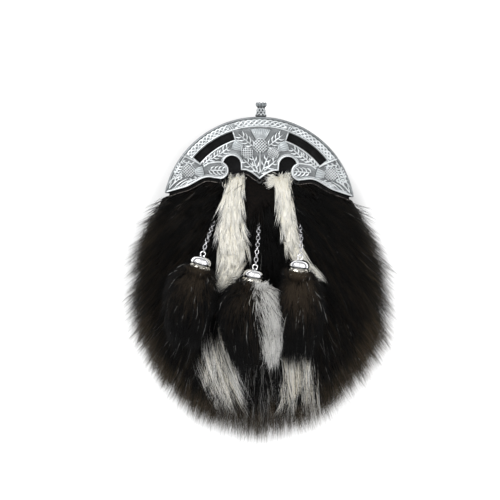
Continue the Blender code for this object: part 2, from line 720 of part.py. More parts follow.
def make_cantle():
    plate = prism(cantle_outline(CANTLE_RADIUS - RIM_WALL / 2), CANTLE_Z, CANTLE_TOP_Z)
    cantle = add_piece("cantle", plate, (0.58, 0.58, 0.57), metallic=1.0, roughness=0.38)
    rim = [polar(angle, CANTLE_RADIUS) for angle in arch_angles()]
    rim += [polar(angle, CANTLE_RADIUS - RIM_WALL) for angle in reversed(arch_angles())]
    bodies = [prism(rim, CANTLE_Z - RIM_DEPTH, CANTLE_TOP_Z + BORDER_HEIGHT)]
    inset = BORDER_WIDTH * 0.3
    half = moved_sideways(cantle_lower_edge(), -inset)[1:]
    half[-1] = (0.0, shared(SHIELD_EDGE[-1])[1] + 1.4 * inset)
    bodies.append(rib(half + mirrored(half)[1:], BORDER_WIDTH, BORDER_HEIGHT))
    band = np.linspace(-WINDOW_END, WINDOW_END, ARCH_STEPS - 1)
    inner = [polar(float(angle), BAND_INNER_RADIUS + inset) for angle in band]
    bodies.append(rib(inner, BORDER_WIDTH, BORDER_HEIGHT * 0.95))
    for side in (-1, 1):
        lower = np.linspace(SEPARATOR_INNER, WINDOW_END, 9)
        bodies.append(rib([polar(side * float(a), WINDOW_INNER_RADIUS - inset) for a in lower],
                          BORDER_WIDTH, BORDER_HEIGHT * 0.9))
        for angle in (SEPARATOR_INNER, SEPARATOR_OUTER):
            foot = polar(side * (angle - SEPARATOR_LEAN), WINDOW_INNER_RADIUS)
            head = polar(side * (angle + SEPARATOR_LEAN), CANTLE_RADIUS - RIM_WALL / 2)
            bodies.append(rib([foot, head], BORDER_WIDTH, BORDER_HEIGHT * 0.85))
        window = [float(angle) for angle in np.linspace(WINDOW_START, WINDOW_END, 9)]
        cutter = [polar(side * angle, WINDOW_OUTER_RADIUS) for angle in window]
        cutter += [polar(side * angle, WINDOW_INNER_RADIUS) for angle in reversed(window)]
        cut(cantle, prism(cutter, CANTLE_Z - MM, CANTLE_TOP_Z + 3 * MM), f"cantle_window_{side + 1}")
    bodies += knotwork(-KNOT_INNER_END, KNOT_INNER_END)
    bodies += knotwork(KNOT_OUTER_START, WINDOW_END)
    bodies += knotwork(-WINDOW_END, -KNOT_OUTER_START)
    for row in THISTLES:
        bodies += thistle(row)
    for row in LEAVES:
        for side in (-1, 1):
            centre = Vector((side * row["across"] * CANTLE_RADIUS, ARCH_Y + row["rise"] * CANTLE_RADIUS))
            length = row["length"] * CANTLE_RADIUS / 2
            bodies.append(blob(centre, (length, length * LEAF_SLIMNESS, LEAF_HEIGHT), side * row["turn"]))
    bodies += [lug(tassel["lug_x"]) for tassel in TASSELS.values()]
    fuse(cantle, bodies, "cantle_relief")
    # The windows are cut through last, after the raised work is on the plate
    names = [modifier.name for modifier in cantle.modifiers]
    cantle.modifiers.move(names.index("cantle_relief"), 0)


def make_finial():
    base_y = ARCH_Y + CANTLE_RADIUS + SEAT_GAP
    z = (CANTLE_Z - RIM_DEPTH + CANTLE_TOP_Z) / 2
    place = Matrix.Translation((0, base_y, z)) @ Matrix.Rotation(math.radians(-90), 4, "X")
    profile = [(0.0, 0.0)]
    profile += [(row["out"] * FINIAL_RADIUS, row["up"] * FINIAL_HEIGHT) for row in FINIAL_PROFILE]
    profile.append((0.0, FINIAL_HEIGHT))
    finial = turned(profile, 10, place)
    add_piece("thistle_finial", finial, (0.55, 0.55, 0.55), metallic=1.0, roughness=0.35)


# Tassels

def tassel_axes(tassel):
    """The middle of the cap's top, the way the tassel runs and the way across it."""
    lean = math.radians(tassel["lean"])
    along = Vector((math.sin(lean), -math.cos(lean), 0))
    across = Vector((math.cos(lean), math.sin(lean), 0))
    top = Vector((*tassel["cap"], TASSEL_REST_Z + CAP_RADIUS))
    return top, along, across


def eye_centre(tassel):
    top, along, _ = tassel_axes(tassel)
    return top - along * (LUG_RADIUS * 0.8)


def make_cap(name, tassel):
    top, along, across = tassel_axes(tassel)
    up = Vector((0, 0, 1))
    place = Matrix((across, up, along)).transposed().to_4x4()
    place.translation = top
    profile = [(0.0, 0.0)]
    profile += [(row["out"] * CAP_RADIUS, row["down"] * CAP_HEIGHT) for row in CAP_PROFILE]
    recess = CAP_RECESS_SHARE * CAP_RADIUS
    profile += [(recess, CAP_HEIGHT - CAP_RECESS), (0.0, CAP_HEIGHT - CAP_RECESS)]
    cap = turned(profile, CAP_SIDES, place)
    piece = add_piece(f"tassel_cap_{name}", cap, (0.82, 0.82, 0.83), metallic=1.0, roughness=0.08)
    centre = eye_centre(tassel)
    path = []
    for k in range(8):
        turn = math.tau * (k + 0.5) / 8
        path.append(centre + LUG_RADIUS * (math.cos(turn) * along + math.sin(turn) * across))
    fuse(piece, [wire(path, LUG_WIRE, 5, closed=True)], f"cap_eye_{name}")


def link_body(bm, middle, along, over, length):
    """One oval link: straight sides and round ends, 10 segments round."""
    width = LINK_WIDTH - LINK_WIRE
    straight = (length - LINK_WIRE - width) / 2
    path = []
    for end in (1, -1):
        for k in range(5):
            turn = math.radians(-90 + 45 * k)
            forward = end * (straight + width / 2 * math.cos(turn))
            path.append(middle + forward * along + end * width / 2 * math.sin(turn) * over)
    wire(path, LINK_WIRE, 5, closed=True, up=over.cross(along), bm=bm)


def chain_path(tassel):
    """Evenly spaced samples of the chain's route over the fur, from the lug to the cap's eye."""
    hang = LUG_RADIUS - LUG_WIRE / 2 - LINK_WIRE / 2 - SEAT_GAP
    start_x = tassel["lug_x"]
    start = Vector((start_x, lug_centre_y(start_x) - hang, BACKING_TOP_Z + LINK_REST))
    _, along, _ = tassel_axes(tassel)
    end = eye_centre(tassel) - along * hang
    leave = Vector((0, -1, 0))
    span = (end - start).length
    points = []
    for k in range(81):
        t = k / 80
        a, b = start + leave * span * 0.35, end - along * span * 0.35
        plan = start * (1 - t) ** 3 + a * 3 * t * (1 - t) ** 2 + b * 3 * t * t * (1 - t) + end * t ** 3
        lying = fur_top(plan.x, plan.y) + LINK_REST
        climb = smooth_step((t - 0.45) / 0.5)
        points.append(Vector((plan.x, plan.y, lying + (end.z - lying) * climb)))
    points[0], points[-1] = start, end
    return points


def make_chain(name, tassel):
    """Links whose end wires lie on the route, each one's end inside the next, upright and flat by turns."""
    route = chain_path(tassel)
    steps = [0.0]
    for before, after in zip(route, route[1:]):
        steps.append(steps[-1] + (after - before).length)
    touch = LINK_WIRE - LINK_OVERLAP
    links = 2 * round((steps[-1] / LINK_PITCH - 1) / 2) + 1
    pitch = (steps[-1] - touch) / links
    upright, flat = bmesh.new(), bmesh.new()
    for k in range(links):
        near, far = (Vector(np.interp(at, steps, [p[axis] for p in route]) for axis in range(3))
                     for at in (k * pitch, (k + 1) * pitch + touch))
        along = (far - near).normalized()
        side = along.cross(Vector((0, 0, 1))).normalized()
        if k % 2:
            link_body(flat, (near + far) / 2, along, side, (far - near).length + LINK_WIRE)
        else:
            link_body(upright, (near + far) / 2, along, side.cross(along), (far - near).length + LINK_WIRE)
    chain = add_piece(f"tassel_chain_{name}", upright, (0.62, 0.62, 0.62), metallic=1.0, roughness=0.25)
    fuse(chain, [flat], f"chain_links_{name}")


def make_tassel_fur(name, tassel):
    top, along, across = tassel_axes(tassel)
    mouth = top + along * CAP_HEIGHT
    neck = CAP_RECESS_SHARE * CAP_RADIUS - 2 * SEAT_GAP
    floor = TASSEL_REST_Z
    rings = []
    for depth in (CAP_RECESS - SEAT_GAP, -SEAT_GAP):
        ring = []
        for k in range(TASSEL_CORNERS):
            turn = math.tau * k / TASSEL_CORNERS
            out = neck * (math.cos(turn) * across + math.sin(turn) * Vector((0, 0, 1)))
            ring.append(mouth - along * depth + out)
        rings.append(ring)
    for number, row in enumerate(TASSEL_SECTIONS):
        ring = []
        height = TASSEL_THICKNESS * row["height"]
        for k in range(TASSEL_CORNERS):
            turn = math.tau * k / TASSEL_CORNERS
            lock = 1.0 if (k + number // 3) % 2 else 0.90
            side = tassel["out_right"] if math.cos(turn) > 0 else tassel["out_left"]
            sideways = side * row["spread"] * lock * math.cos(turn)
            sideways += tassel["sway"] * tassel["fur"] * row["along"]
            upward = floor + height / 2 * (1 + lock * math.sin(turn))
            down = row["along"] * tassel["fur"] * (1.0 if number < 5 else (0.93 + 0.07 * (k % 2)))
            point = mouth + along * (down + SEAT_GAP * 2) + across * sideways
            ring.append(Vector((point.x, point.y, upward)))
        rings.append(ring)
    add_piece(f"tassel_fur_{name}", loft(rings), (0.020, 0.014, 0.010), roughness=0.75)


def main():
    clear_scene()
    make_leather()
    make_strap_fittings()
    make_pelt()
    make_strip("white_strip_left", STRIP_LEFT)
    make_strip("white_strip_right", STRIP_RIGHT)
    make_cantle()
    make_finial()
    for name, tassel in TASSELS.items():
        make_chain(name, tassel)
        make_cap(name, tassel)
        make_tassel_fur(name, tassel)


main()
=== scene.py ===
import math

import bmesh
import bpy
import numpy as np
from mathutils import Matrix, Vector


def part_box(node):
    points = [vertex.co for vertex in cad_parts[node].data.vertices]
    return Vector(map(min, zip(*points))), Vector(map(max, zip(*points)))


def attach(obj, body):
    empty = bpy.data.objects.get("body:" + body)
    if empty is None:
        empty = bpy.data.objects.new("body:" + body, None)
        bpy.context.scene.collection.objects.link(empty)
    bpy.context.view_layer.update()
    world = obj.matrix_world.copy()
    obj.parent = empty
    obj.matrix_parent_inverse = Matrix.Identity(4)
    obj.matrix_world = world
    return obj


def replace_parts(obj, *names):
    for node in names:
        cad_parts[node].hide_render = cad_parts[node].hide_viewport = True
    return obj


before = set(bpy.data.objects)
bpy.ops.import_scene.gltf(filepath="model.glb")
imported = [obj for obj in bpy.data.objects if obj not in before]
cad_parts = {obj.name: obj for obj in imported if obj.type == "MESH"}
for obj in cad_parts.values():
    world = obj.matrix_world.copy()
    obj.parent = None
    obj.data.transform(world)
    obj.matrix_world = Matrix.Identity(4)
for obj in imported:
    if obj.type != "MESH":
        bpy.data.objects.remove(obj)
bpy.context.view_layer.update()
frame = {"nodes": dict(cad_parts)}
mm = 0.001
print("frame loaded:", len(frame["nodes"]), "nodes")


# Shader maths: a Wire is one socket, and sums or products of wires add Math nodes

class Wire:
    def __init__(self, tree, socket):
        self.tree = tree
        self.socket = socket

    def join(self, operation, first, second=0.0):
        node = self.tree.nodes.new("ShaderNodeMath")
        node.operation = operation
        for place, item in zip(node.inputs, (first, second)):
            if isinstance(item, Wire):
                self.tree.links.new(item.socket, place)
            else:
                place.default_value = item
        return Wire(self.tree, node.outputs[0])

    def __add__(self, other):
        return self.join("ADD", self, other)

    def __radd__(self, other):
        return self.join("ADD", other, self)

    def __sub__(self, other):
        return self.join("SUBTRACT", self, other)

    def __rsub__(self, other):
        return self.join("SUBTRACT", other, self)

    def __mul__(self, other):
        return self.join("MULTIPLY", self, other)

    def __rmul__(self, other):
        return self.join("MULTIPLY", other, self)

    def __pow__(self, other):
        return self.join("POWER", self, other)

    def held(self):
        return self.join("MINIMUM", self.join("MAXIMUM", self, 0.0), 1.0)


class Finish:
    def __init__(self, name, fixed):
        self.material = bpy.data.materials.new(name)
        self.material.use_nodes = True
        self.tree = self.material.node_tree
        self.shader = self.tree.nodes["Principled BSDF"]
        for socket, value in fixed.items():
            self.shader.inputs[socket].default_value = value

    def node(self, kind, settings, sockets, out=0):
        node = self.tree.nodes.new("ShaderNode" + kind)
        for key, value in settings.items():
            if key == "stops":
                while len(node.color_ramp.elements) < len(value):
                    node.color_ramp.elements.new(1.0)
                for element, (place, colour) in zip(node.color_ramp.elements, value):
                    element.position = place
                    element.color = (*colour, 1.0)
            else:
                setattr(node, key, value)
        for key, value in sockets.items():
            if isinstance(value, Wire):
                self.tree.links.new(value.socket, node.inputs[key])
            else:
                node.inputs[key].default_value = value
        return Wire(self.tree, node.outputs[out])

    def place(self):
        return self.node("TexCoord", {}, {}, "Object")

    def part(self, vector, axis):
        return self.node("SeparateXYZ", {}, {"Vector": vector}, axis)

    def noise(self, scale, detail=2.0, rough=0.5):
        return self.node("TexNoise", {}, {"Vector": self.place(), "Scale": scale, "Detail": detail,
                                          "Roughness": rough}, "Fac")

    def ramp(self, factor, stops):
        return self.node("ValToRGB", {"stops": stops}, {"Fac": factor}, "Color")

    def mix(self, factor, first, second):
        return self.node("Mix", {"data_type": "RGBA"}, {0: factor, 6: first, 7: second}, 2)

    def bump(self, height, distance, strength=1.0):
        return self.node("Bump", {}, {"Height": height, "Distance": distance, "Strength": strength},
                         "Normal")

    def feed(self, sockets):
        for key, wire in sockets.items():
            self.tree.links.new(wire.socket, self.shader.inputs[key])
        return self.material


def grey(value, tint=0.0):
    return (value * (1 - tint), value * (1 - tint / 3), value)


# Finishes

def pewterFinish(name, dark, light, rough):
    # Cast metal, darker in its hollows by a fine and a broad noise
    look = Finish(name, {"Metallic": 0.9, "Specular IOR Level": 0.4})
    grain = look.noise(1500.0, 3.0)
    cloud = look.noise(170.0, 2.0)
    level = (0.5 + (grain - 0.5) * 1.1 + (cloud - 0.5) * 1.0).held()
    tone = look.ramp(level, [(0.1, dark), (0.9, light)])
    normal = look.bump(grain, 0.06 * mm, 0.8)
    return look.feed({"Base Color": tone, "Roughness": rough + 0.1 * (1 - level), "Normal": normal})


def chromeFinish(name, colour, rough):
    look = Finish(name, {"Metallic": 1.0})
    haze = look.noise(260.0, 3.0)
    tone = look.ramp(haze, [(0.3, tuple(c * 0.93 for c in colour)), (0.7, colour)])
    return look.feed({"Base Color": tone, "Roughness": rough + (haze - 0.5) * 0.06})


def leatherPaintedSheenFinish(name, colour, rough):
    look = Finish(name, {"Specular IOR Level": 0.07})
    cells = look.node("TexVoronoi", {"feature": "DISTANCE_TO_EDGE"},
                      {"Vector": look.place(), "Scale": 950.0}, "Distance")
    cloud = look.noise(75.0, 3.0)
    # The lighter patches in the base colour, where the cloud noise is high, are painted sheen.
    tone = look.ramp(cloud, [(0.48, colour), (0.78, tuple(c * 8.0 + 0.004 for c in colour))])
    normal = look.bump((cells * 4.0).held() + look.noise(420.0) * 0.5 + cloud * 6.0, 0.12 * mm, 0.7)
    return look.feed({"Base Color": tone, "Roughness": rough + (cloud - 0.5) * 0.22, "Normal": normal})


# Hair colours by kind, two stops each: jet, brown, tan-tipped, grey-white and cream
# The grey-white and cream kinds are darker at the root than at the tip: partly the hair's own base colour,
# partly painted shade where tufts lie over each other.
hairColours = {
    "stops": (0.00, 0.19, 0.21, 0.39, 0.41, 0.59, 0.61, 0.79, 0.81, 1.00),
    "root": [(0.001, 0.001, 0.001), (0.003, 0.003, 0.003), (0.007, 0.005, 0.003), (0.040, 0.029, 0.019),
             (0.003, 0.002, 0.002), (0.010, 0.007, 0.004), (0.16, 0.16, 0.15), (0.66, 0.65, 0.62),
             (0.60, 0.54, 0.40), (0.93, 0.90, 0.79)],
    "tip": [(0.002, 0.002, 0.002), (0.008, 0.008, 0.009), (0.012, 0.008, 0.005), (0.085, 0.064, 0.043),
            (0.030, 0.020, 0.012), (0.30, 0.23, 0.14), (0.40, 0.41, 0.41), (0.93, 0.93, 0.92),
            (0.97, 0.95, 0.86), (1.00, 1.00, 0.99)],
}


def furFinish(name, rough, shine, late):
    # Across the map: the kind of hair. Up the map: from root to tip; a high late keeps the tip's colour back.
    look = Finish(name, {"Specular IOR Level": shine})
    hair = look.node("UVMap", {"uv_map": "OFBake"}, {})
    kind = look.part(hair, "X")
    along = look.part(hair, "Y")
    root, tip = (look.ramp(kind, list(zip(hairColours["stops"], hairColours[end])))
                 for end in ("root", "tip"))
    return look.feed({"Base Color": look.mix(along ** late, root, tip), "Roughness": rough + along * 0.05})


def undercoatFinish(name, dark, light):
    look = Finish(name, {"Roughness": 0.95, "Specular IOR Level": 0.1})
    wool = look.noise(520.0, 4.0, 0.7)
    tone = look.ramp(wool, [(0.35, dark), (0.7, light)])
    return look.feed({"Base Color": tone, "Normal": look.bump(wool, 0.8 * mm, 1.0)})


# Meshes

def finished(name, mesh, slot, *materials):
    piece = bpy.data.objects.new(name, mesh)
    for material in materials:
        mesh.materials.append(material)
    bpy.context.scene.collection.objects.link(piece)
    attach(piece, "root")
    return piece


def meshOf(bm, name, smooth=True):
    mesh = bpy.data.meshes.new(name)
    bm.to_mesh(mesh)
    bm.free()
    if smooth:
        mesh.shade_smooth()
    return mesh


def joined(name, meshes):
    bm = bmesh.new()
    for mesh in meshes:
        bm.from_mesh(mesh)
        bpy.data.meshes.remove(mesh)
    bmesh.ops.remove_doubles(bm, verts=bm.verts, dist=1e-7)
    bmesh.ops.recalc_face_normals(bm, faces=bm.faces)
    return meshOf(bm, name)


def inSlot(mesh, number):
    for face in mesh.polygons:
        face.material_index = number
    return mesh


def curveMesh(name, curve):
    # A curve's surface as a mesh, without the curve
    holder = bpy.data.objects.new(name, curve)
    bpy.context.scene.collection.objects.link(holder)
    graph = bpy.context.evaluated_depsgraph_get()
    mesh = bpy.data.meshes.new_from_object(holder.evaluated_get(graph))
    bpy.data.objects.remove(holder)
    bpy.data.curves.remove(curve)
    return mesh


def strokes(name, lines, sides=1):
    # Round strokes through (x, y, z, radius) points: a curve with a bevel, made a mesh
    curve = bpy.data.curves.new(name, "CURVE")
    curve.dimensions = "3D"
    curve.bevel_depth = 1.0
    curve.bevel_resolution = sides
    curve.use_fill_caps = True
    for line in lines:
        spline = curve.splines.new("POLY")
        spline.points.add(len(line) - 1)
        for place, (x, y, z, radius) in zip(spline.points, line):
            place.co = (x, y, z, 1.0)
            place.radius = radius
    return curveMesh(name, curve)


def slab(name, outlines, low, high, rounding):
    # A flat plate with holes: a filled 2D curve, extruded and bevelled, made a mesh
    curve = bpy.data.curves.new(name, "CURVE")
    curve.dimensions = "2D"
    curve.fill_mode = "BOTH"
    curve.extrude = (high - low) / 2 - rounding
    curve.bevel_depth = rounding
    curve.bevel_resolution = 1
    curve.offset = -rounding
    for outline in outlines:
        spline = curve.splines.new("POLY")
        spline.points.add(len(outline) - 1)
        for place, (x, y) in zip(spline.points, outline):
            place.co = (x, y, 0.0, 1.0)
        spline.use_cyclic_u = True
    mesh = curveMesh(name, curve)
    mesh.transform(Matrix.Translation((0, 0, (low + high) / 2)))
    return mesh


def turnedMesh(name, profile, steps, place, bands=()):
    # A profile of (radius, height) spun round Z, then put in place; past each band's height the next finish
    bm = bmesh.new()
    points = [bm.verts.new((radius, 0, height)) for radius, height in profile]
    edges = [bm.edges.new(pair) for pair in zip(points, points[1:])]
    bmesh.ops.spin(bm, geom=points + edges, cent=(0, 0, 0), axis=(0, 0, 1), dvec=(0, 0, 0),
                   angle=math.tau, steps=steps, use_merge=True, use_duplicate=False)
    bmesh.ops.remove_doubles(bm, verts=bm.verts, dist=1e-7)
    bmesh.ops.recalc_face_normals(bm, faces=bm.faces)
    for face in bm.faces:
        face.material_index = sum(face.calc_center_median().z > height for height in bands)
    bmesh.ops.transform(bm, matrix=place, verts=bm.verts)
    return meshOf(bm, name)


def wireRing(radius, wire, sides, steps):
    # A ring of round wire about Z; wire is its radius
    bm = bmesh.new()
    bmesh.ops.create_circle(bm, segments=sides, radius=wire, cap_ends=False)
    place = Matrix.Translation((radius, 0, 0)) @ Matrix.Rotation(math.pi / 2, 4, "X")
    bmesh.ops.transform(bm, matrix=place, verts=bm.verts)
    bmesh.ops.spin(bm, geom=bm.verts[:] + bm.edges[:], cent=(0, 0, 0), axis=(0, 0, 1), dvec=(0, 0, 0),
                   angle=math.tau, steps=steps, use_merge=True, use_duplicate=False)
    return bm


def loftMesh(name, rings):
    # Closed rings bridged one to the next, with a cap at each end
    bm = bmesh.new()
    loops = []
    for ring in rings:
        points = [bm.verts.new(point) for point in ring]
        loops.append([bm.edges.new(pair) for pair in zip(points, points[1:] + points[:1])])
    for lower, upper in zip(loops, loops[1:]):
        bmesh.ops.bridge_loops(bm, edges=lower + upper)
    bmesh.ops.holes_fill(bm, edges=[edge for edge in bm.edges if edge.is_boundary], sides=0)
    bmesh.ops.recalc_face_normals(bm, faces=bm.faces)
    return meshOf(bm, name)


def smoothLine(points, steps):
    # A soft curve through a few points
    points = np.array(points, float)
    ends = np.vstack([2 * points[0] - points[1], points, 2 * points[-1] - points[-2]])
    line = []
    for a, b, c, d in zip(ends, ends[1:], ends[2:], ends[3:]):
        for t in np.arange(steps) / steps:
            line.append(0.5 * (2 * b + (c - a) * t + (2 * a - 5 * b + 4 * c - d) * t * t
                               + (3 * b - a - 3 * c + d) * t ** 3))
    line.append(points[-1])
    return [tuple(point) for point in line]


def readOff(rows, at, column=1):
    # The value in a column of the rows, at a place between the rows' first values
    return np.interp(at, [row[0] for row in rows], [row[column] for row in rows])


def mirrored(line):
    return [(-point[0], *point[1:]) for point in reversed(line)]


def shifted(line, distance):
    # An open line moved to its left
    line = np.array(line, float)
    ahead = np.gradient(line, axis=0)
    ahead /= np.linalg.norm(ahead, axis=1)[:, None]
    return [tuple(point) for point in line + distance * np.stack([-ahead[:, 1], ahead[:, 0]], 1)]


# The cantle's outline, as shares of its radius

cantle = {
    "tipAngle": 79.0,               # degrees from the top of the arch
    "bulbHeight": 1.8 * mm,         # the highest relief over the plate
    "plate": 2.2 * mm,
    "rimWall": 1.6 * mm,
    "rimRise": 0.9 * mm,
    "bandInner": 0.900,
    "windowOuter": 0.890,
    "windowInner": 0.803,
    "window": (19.6, 50.8),
    "separator": 18.4,
    "margin": 3.0 * mm,             # leather seen below the metal
    "tipEdge": [(0.864, 0.222), (0.753, 0.258), (0.675, 0.300), (0.597, 0.344), (0.526, 0.360),
                (0.470, 0.350)],
    "lobe": (0.416, 0.435, 0.091),
    "notch": (0.291, 0.499, 0.091),
    "shieldEdge": [(0.197, 0.443), (0.140, 0.441), (0.084, 0.415), (0.036, 0.380), (0.000, 0.348)],
}
cantleLow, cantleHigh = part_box("cantle")
cantleR = cantleHigh.x / math.sin(math.radians(cantle["tipAngle"]))
archY = cantleHigh.y - cantleR
plateTop = cantleHigh.z - cantle["bulbHeight"]
plateLow = plateTop - cantle["plate"]


def polar(angle, share):
    turn = math.radians(angle)
    return share * cantleR * math.sin(turn), archY + share * cantleR * math.cos(turn)


def spot(across, rise):
    return across * cantleR, archY + rise * cantleR


def arcOf(centre, start, end, steps):
    across, rise, radius = centre
    return [spot(across + radius * math.cos(math.radians(t)), rise + radius * math.sin(math.radians(t)))
            for t in np.linspace(start, end, steps + 1)]


def lowerEdge():
    # The right half, from the tip to the point on the centre line
    tip = smoothLine([polar(cantle["tipAngle"], 0.99)] + [spot(*row) for row in cantle["tipEdge"]], 6)
    lobe = arcOf(cantle["lobe"], 262, 112, 18)
    notch = arcOf(cantle["notch"], 14, 180, 18)
    shield = [spot(*row) for row in cantle["shieldEdge"]]
    return tip[:-3] + lobe + notch + shield


def marginLine():
    spans = [spot(*row) for row in cantle["tipEdge"][:5]] + arcOf(cantle["lobe"], 262, 187, 3)
    half = [polar(cantle["tipAngle"], 0.975)] + spans + [spot(*row) for row in cantle["shieldEdge"]]
    return shifted(half, cantle["margin"])


edgeOfLeather = sorted(marginLine())


def marginY(x):
    return readOff(edgeOfLeather, np.abs(x))


# Camera, floor and light

view = {
    "centre": (-6.5 * mm, 7.8 * mm),
    "width": 400 * mm,              # what the picture takes in, at the height below
    "height": 28 * mm,
    "distance": 1.7,
    "lean": 1.2,                    # degrees that the pouch leans in the picture
}


def makeStage():
    camera = bpy.data.objects.new("camera", bpy.data.cameras.new("camera"))
    camera.data.sensor_width = 36.0
    camera.data.lens = 36.0 * view["distance"] / view["width"]
    camera.data.clip_start = 0.05
    camera.location = (*view["centre"], view["height"] + view["distance"])
    camera.rotation_euler = (0, 0, math.radians(view["lean"]))
    bpy.context.scene.collection.objects.link(camera)
    bpy.context.scene.camera = camera

    bm = bmesh.new()
    bmesh.ops.create_grid(bm, x_segments=1, y_segments=1, size=3.0)
    floor = bpy.data.objects.new("floor", meshOf(bm, "floor", smooth=False))
    paper = Finish("floor_paper", {"Base Color": (0.93, 0.93, 0.93, 1.0), "Roughness": 0.9,
                                   "Specular IOR Level": 0.1})
    floor.data.materials.append(paper.material)
    bpy.context.scene.collection.objects.link(floor)

    lamps = [
        {"name": "key", "at": (-0.75, 0.95, 1.35), "size": 1.0, "watts": 21.0},
        {"name": "fill", "at": (1.0, 0.1, 1.1), "size": 1.2, "watts": 9.0},
        {"name": "front", "at": (0.1, -1.2, 1.0), "size": 1.0, "watts": 7.0},
    ]
    for lamp in lamps:
        light = bpy.data.lights.new(lamp["name"], "AREA")
        light.size = lamp["size"]
        light.energy = lamp["watts"]
        holder = bpy.data.objects.new(lamp["name"], light)
        holder.location = lamp["at"]
        holder.rotation_euler = (-Vector(lamp["at"])).to_track_quat("-Z", "Y").to_euler()
        bpy.context.scene.collection.objects.link(holder)
    world = bpy.data.worlds.new("studio")       # brightest overhead, dim near the horizon
    world.use_nodes = True
    nodes, links = world.node_tree.nodes, world.node_tree.links
    height = nodes.new("ShaderNodeSeparateXYZ")
    links.new(nodes.new("ShaderNodeTexCoord").outputs["Generated"], height.inputs[0])
    sky = nodes.new("ShaderNodeValToRGB")
    sky.color_ramp.elements[0].color = (0.16, 0.16, 0.17, 1.0)
    sky.color_ramp.elements[1].color = (0.98, 0.98, 0.98, 1.0)
    sky.color_ramp.elements[1].position = 0.8
    links.new(height.outputs[2], sky.inputs[0])
    links.new(sky.outputs[0], nodes["Background"].inputs["Color"])
    bpy.context.scene.world = world
    bpy.context.scene.view_settings.view_transform = "Standard"


makeStage()
print("stage done")


# Cantle: plate, rim, borders, knotwork, thistles and leaves

relief = {
    "bead": 0.80 * mm,
    "fineBead": 0.36 * mm,
    "knotStrand": 0.70 * mm,
    "knotSwing": 0.026,
    "knotWave": 12.5 * mm,
    "knotSpans": ((-16.8, 16.8), (20.8, 52.2), (-52.2, -20.8)),     # degrees round the arch
    "bandEnd": 53,                  # degrees that the smooth band under the knotwork runs to
    "leafLobe": 0.80 * mm,
    "shadow": 2.20,                 # width of the dark bed under a stroke, over the stroke's own
    "weave": 0.058,                 # radius of a bulb's threads, over the bulb's
    "crownHairs": 1.75 * mm,        # from one hair of a crown to the next
}
# A stroke's width at its start, middle and end
swells = {
    "even": (1.0, 1.0, 1.0),
    "lobe": (0.50, 1.0, 0.14),
    "taper": (1.0, 0.80, 0.18),
    "blade": (0.35, 1.0, 0.2),
}
# Leaves of the right half, from foot to tip; lobe is a side lobe's reach
leaves = [
    {"foot": (0.070, 0.685), "tip": (0.232, 0.818), "pairs": 4, "lobe": 0.052},
    {"foot": (0.014, 0.405), "tip": (0.082, 0.592), "pairs": 3, "lobe": 0.042},
    {"foot": (0.032, 0.425), "tip": (0.172, 0.556), "pairs": 3, "lobe": 0.044},
    {"foot": (0.592, 0.488), "tip": (0.505, 0.565), "pairs": 3, "lobe": 0.034},
    {"foot": (0.518, 0.536), "tip": (0.418, 0.616), "pairs": 3, "lobe": 0.038},
    {"foot": (0.430, 0.588), "tip": (0.322, 0.682), "pairs": 3, "lobe": 0.042},
    {"foot": (0.535, 0.432), "tip": (0.350, 0.437), "pairs": 4, "lobe": 0.046},
    {"foot": (0.815, 0.518), "tip": (0.672, 0.492), "pairs": 3, "lobe": 0.022},
    {"foot": (0.882, 0.375), "tip": (0.815, 0.500), "pairs": 4, "lobe": 0.036},
    {"foot": (0.800, 0.370), "tip": (0.895, 0.330), "pairs": 3, "lobe": 0.032},
    {"foot": (0.650, 0.350), "tip": (0.780, 0.282), "pairs": 3, "lobe": 0.026},
]
# Long blades that run to the tips
blades = [
    {"foot": (0.790, 0.360), "tip": (0.950, 0.215)},
    {"foot": (0.745, 0.345), "tip": (0.900, 0.222)},
    {"foot": (0.850, 0.370), "tip": (0.958, 0.255)},
    {"foot": (0.700, 0.335), "tip": (0.845, 0.243)},
]
# Ridges that part the side panel from the band and the paddle from the branch
ridges = [
    ([(0.812, 0.583), (0.710, 0.541), (0.612, 0.490)], "bead"),
    ([(0.798, 0.607), (0.728, 0.574)], "fineBead"),
    ([(0.385, 0.519), (0.430, 0.522), (0.480, 0.516), (0.534, 0.503), (0.585, 0.470)], "bead"),
]
thistles = [
    {"bulb": (0.000, 0.698), "size": 0.077, "turn": 0, "weave": 45, "bars": 3, "stalk": (0.0, 0.395),
     "crown": [(-0.050, 0.765), (0.050, 0.765), (0.066, 0.790), (0.108, 0.868), (0.0, 0.882), (-0.108, 0.868),
               (-0.066, 0.790)]},
    {"bulb": (0.136, 0.626), "size": 0.064, "turn": -60, "weave": 60, "bars": 3, "stalk": (0.03, 0.47),
     "crown": [(0.184, 0.712), (0.206, 0.640), (0.248, 0.655), (0.304, 0.654), (0.288, 0.714), (0.252, 0.766),
               (0.222, 0.730)]},
    {"bulb": (0.740, 0.422), "size": 0.070, "turn": 91, "weave": 45, "bars": 3, "stalk": (0.85, 0.33),
     "crown": [(0.660, 0.376), (0.672, 0.444), (0.642, 0.450), (0.600, 0.482), (0.582, 0.424), (0.572, 0.362),
               (0.616, 0.382)]},
]


def stroke(points, radius, lift=0.0, swell="even"):
    # A stroke on the plate, its width swelling along it
    shape = swells[swell]
    shares = np.linspace(0, 1, len(points))
    return [(x, y, plateTop + lift, radius * np.interp(t, (0, 0.5, 1), shape))
            for (x, y), t in zip(points, shares)]


def shadowOf(line):
    # A wider, lower stroke under another, for the dark line round it
    wide = relief["shadow"]
    return [(x, y, plateTop - 0.42 * radius * wide, radius * wide) for x, y, _, radius in line]


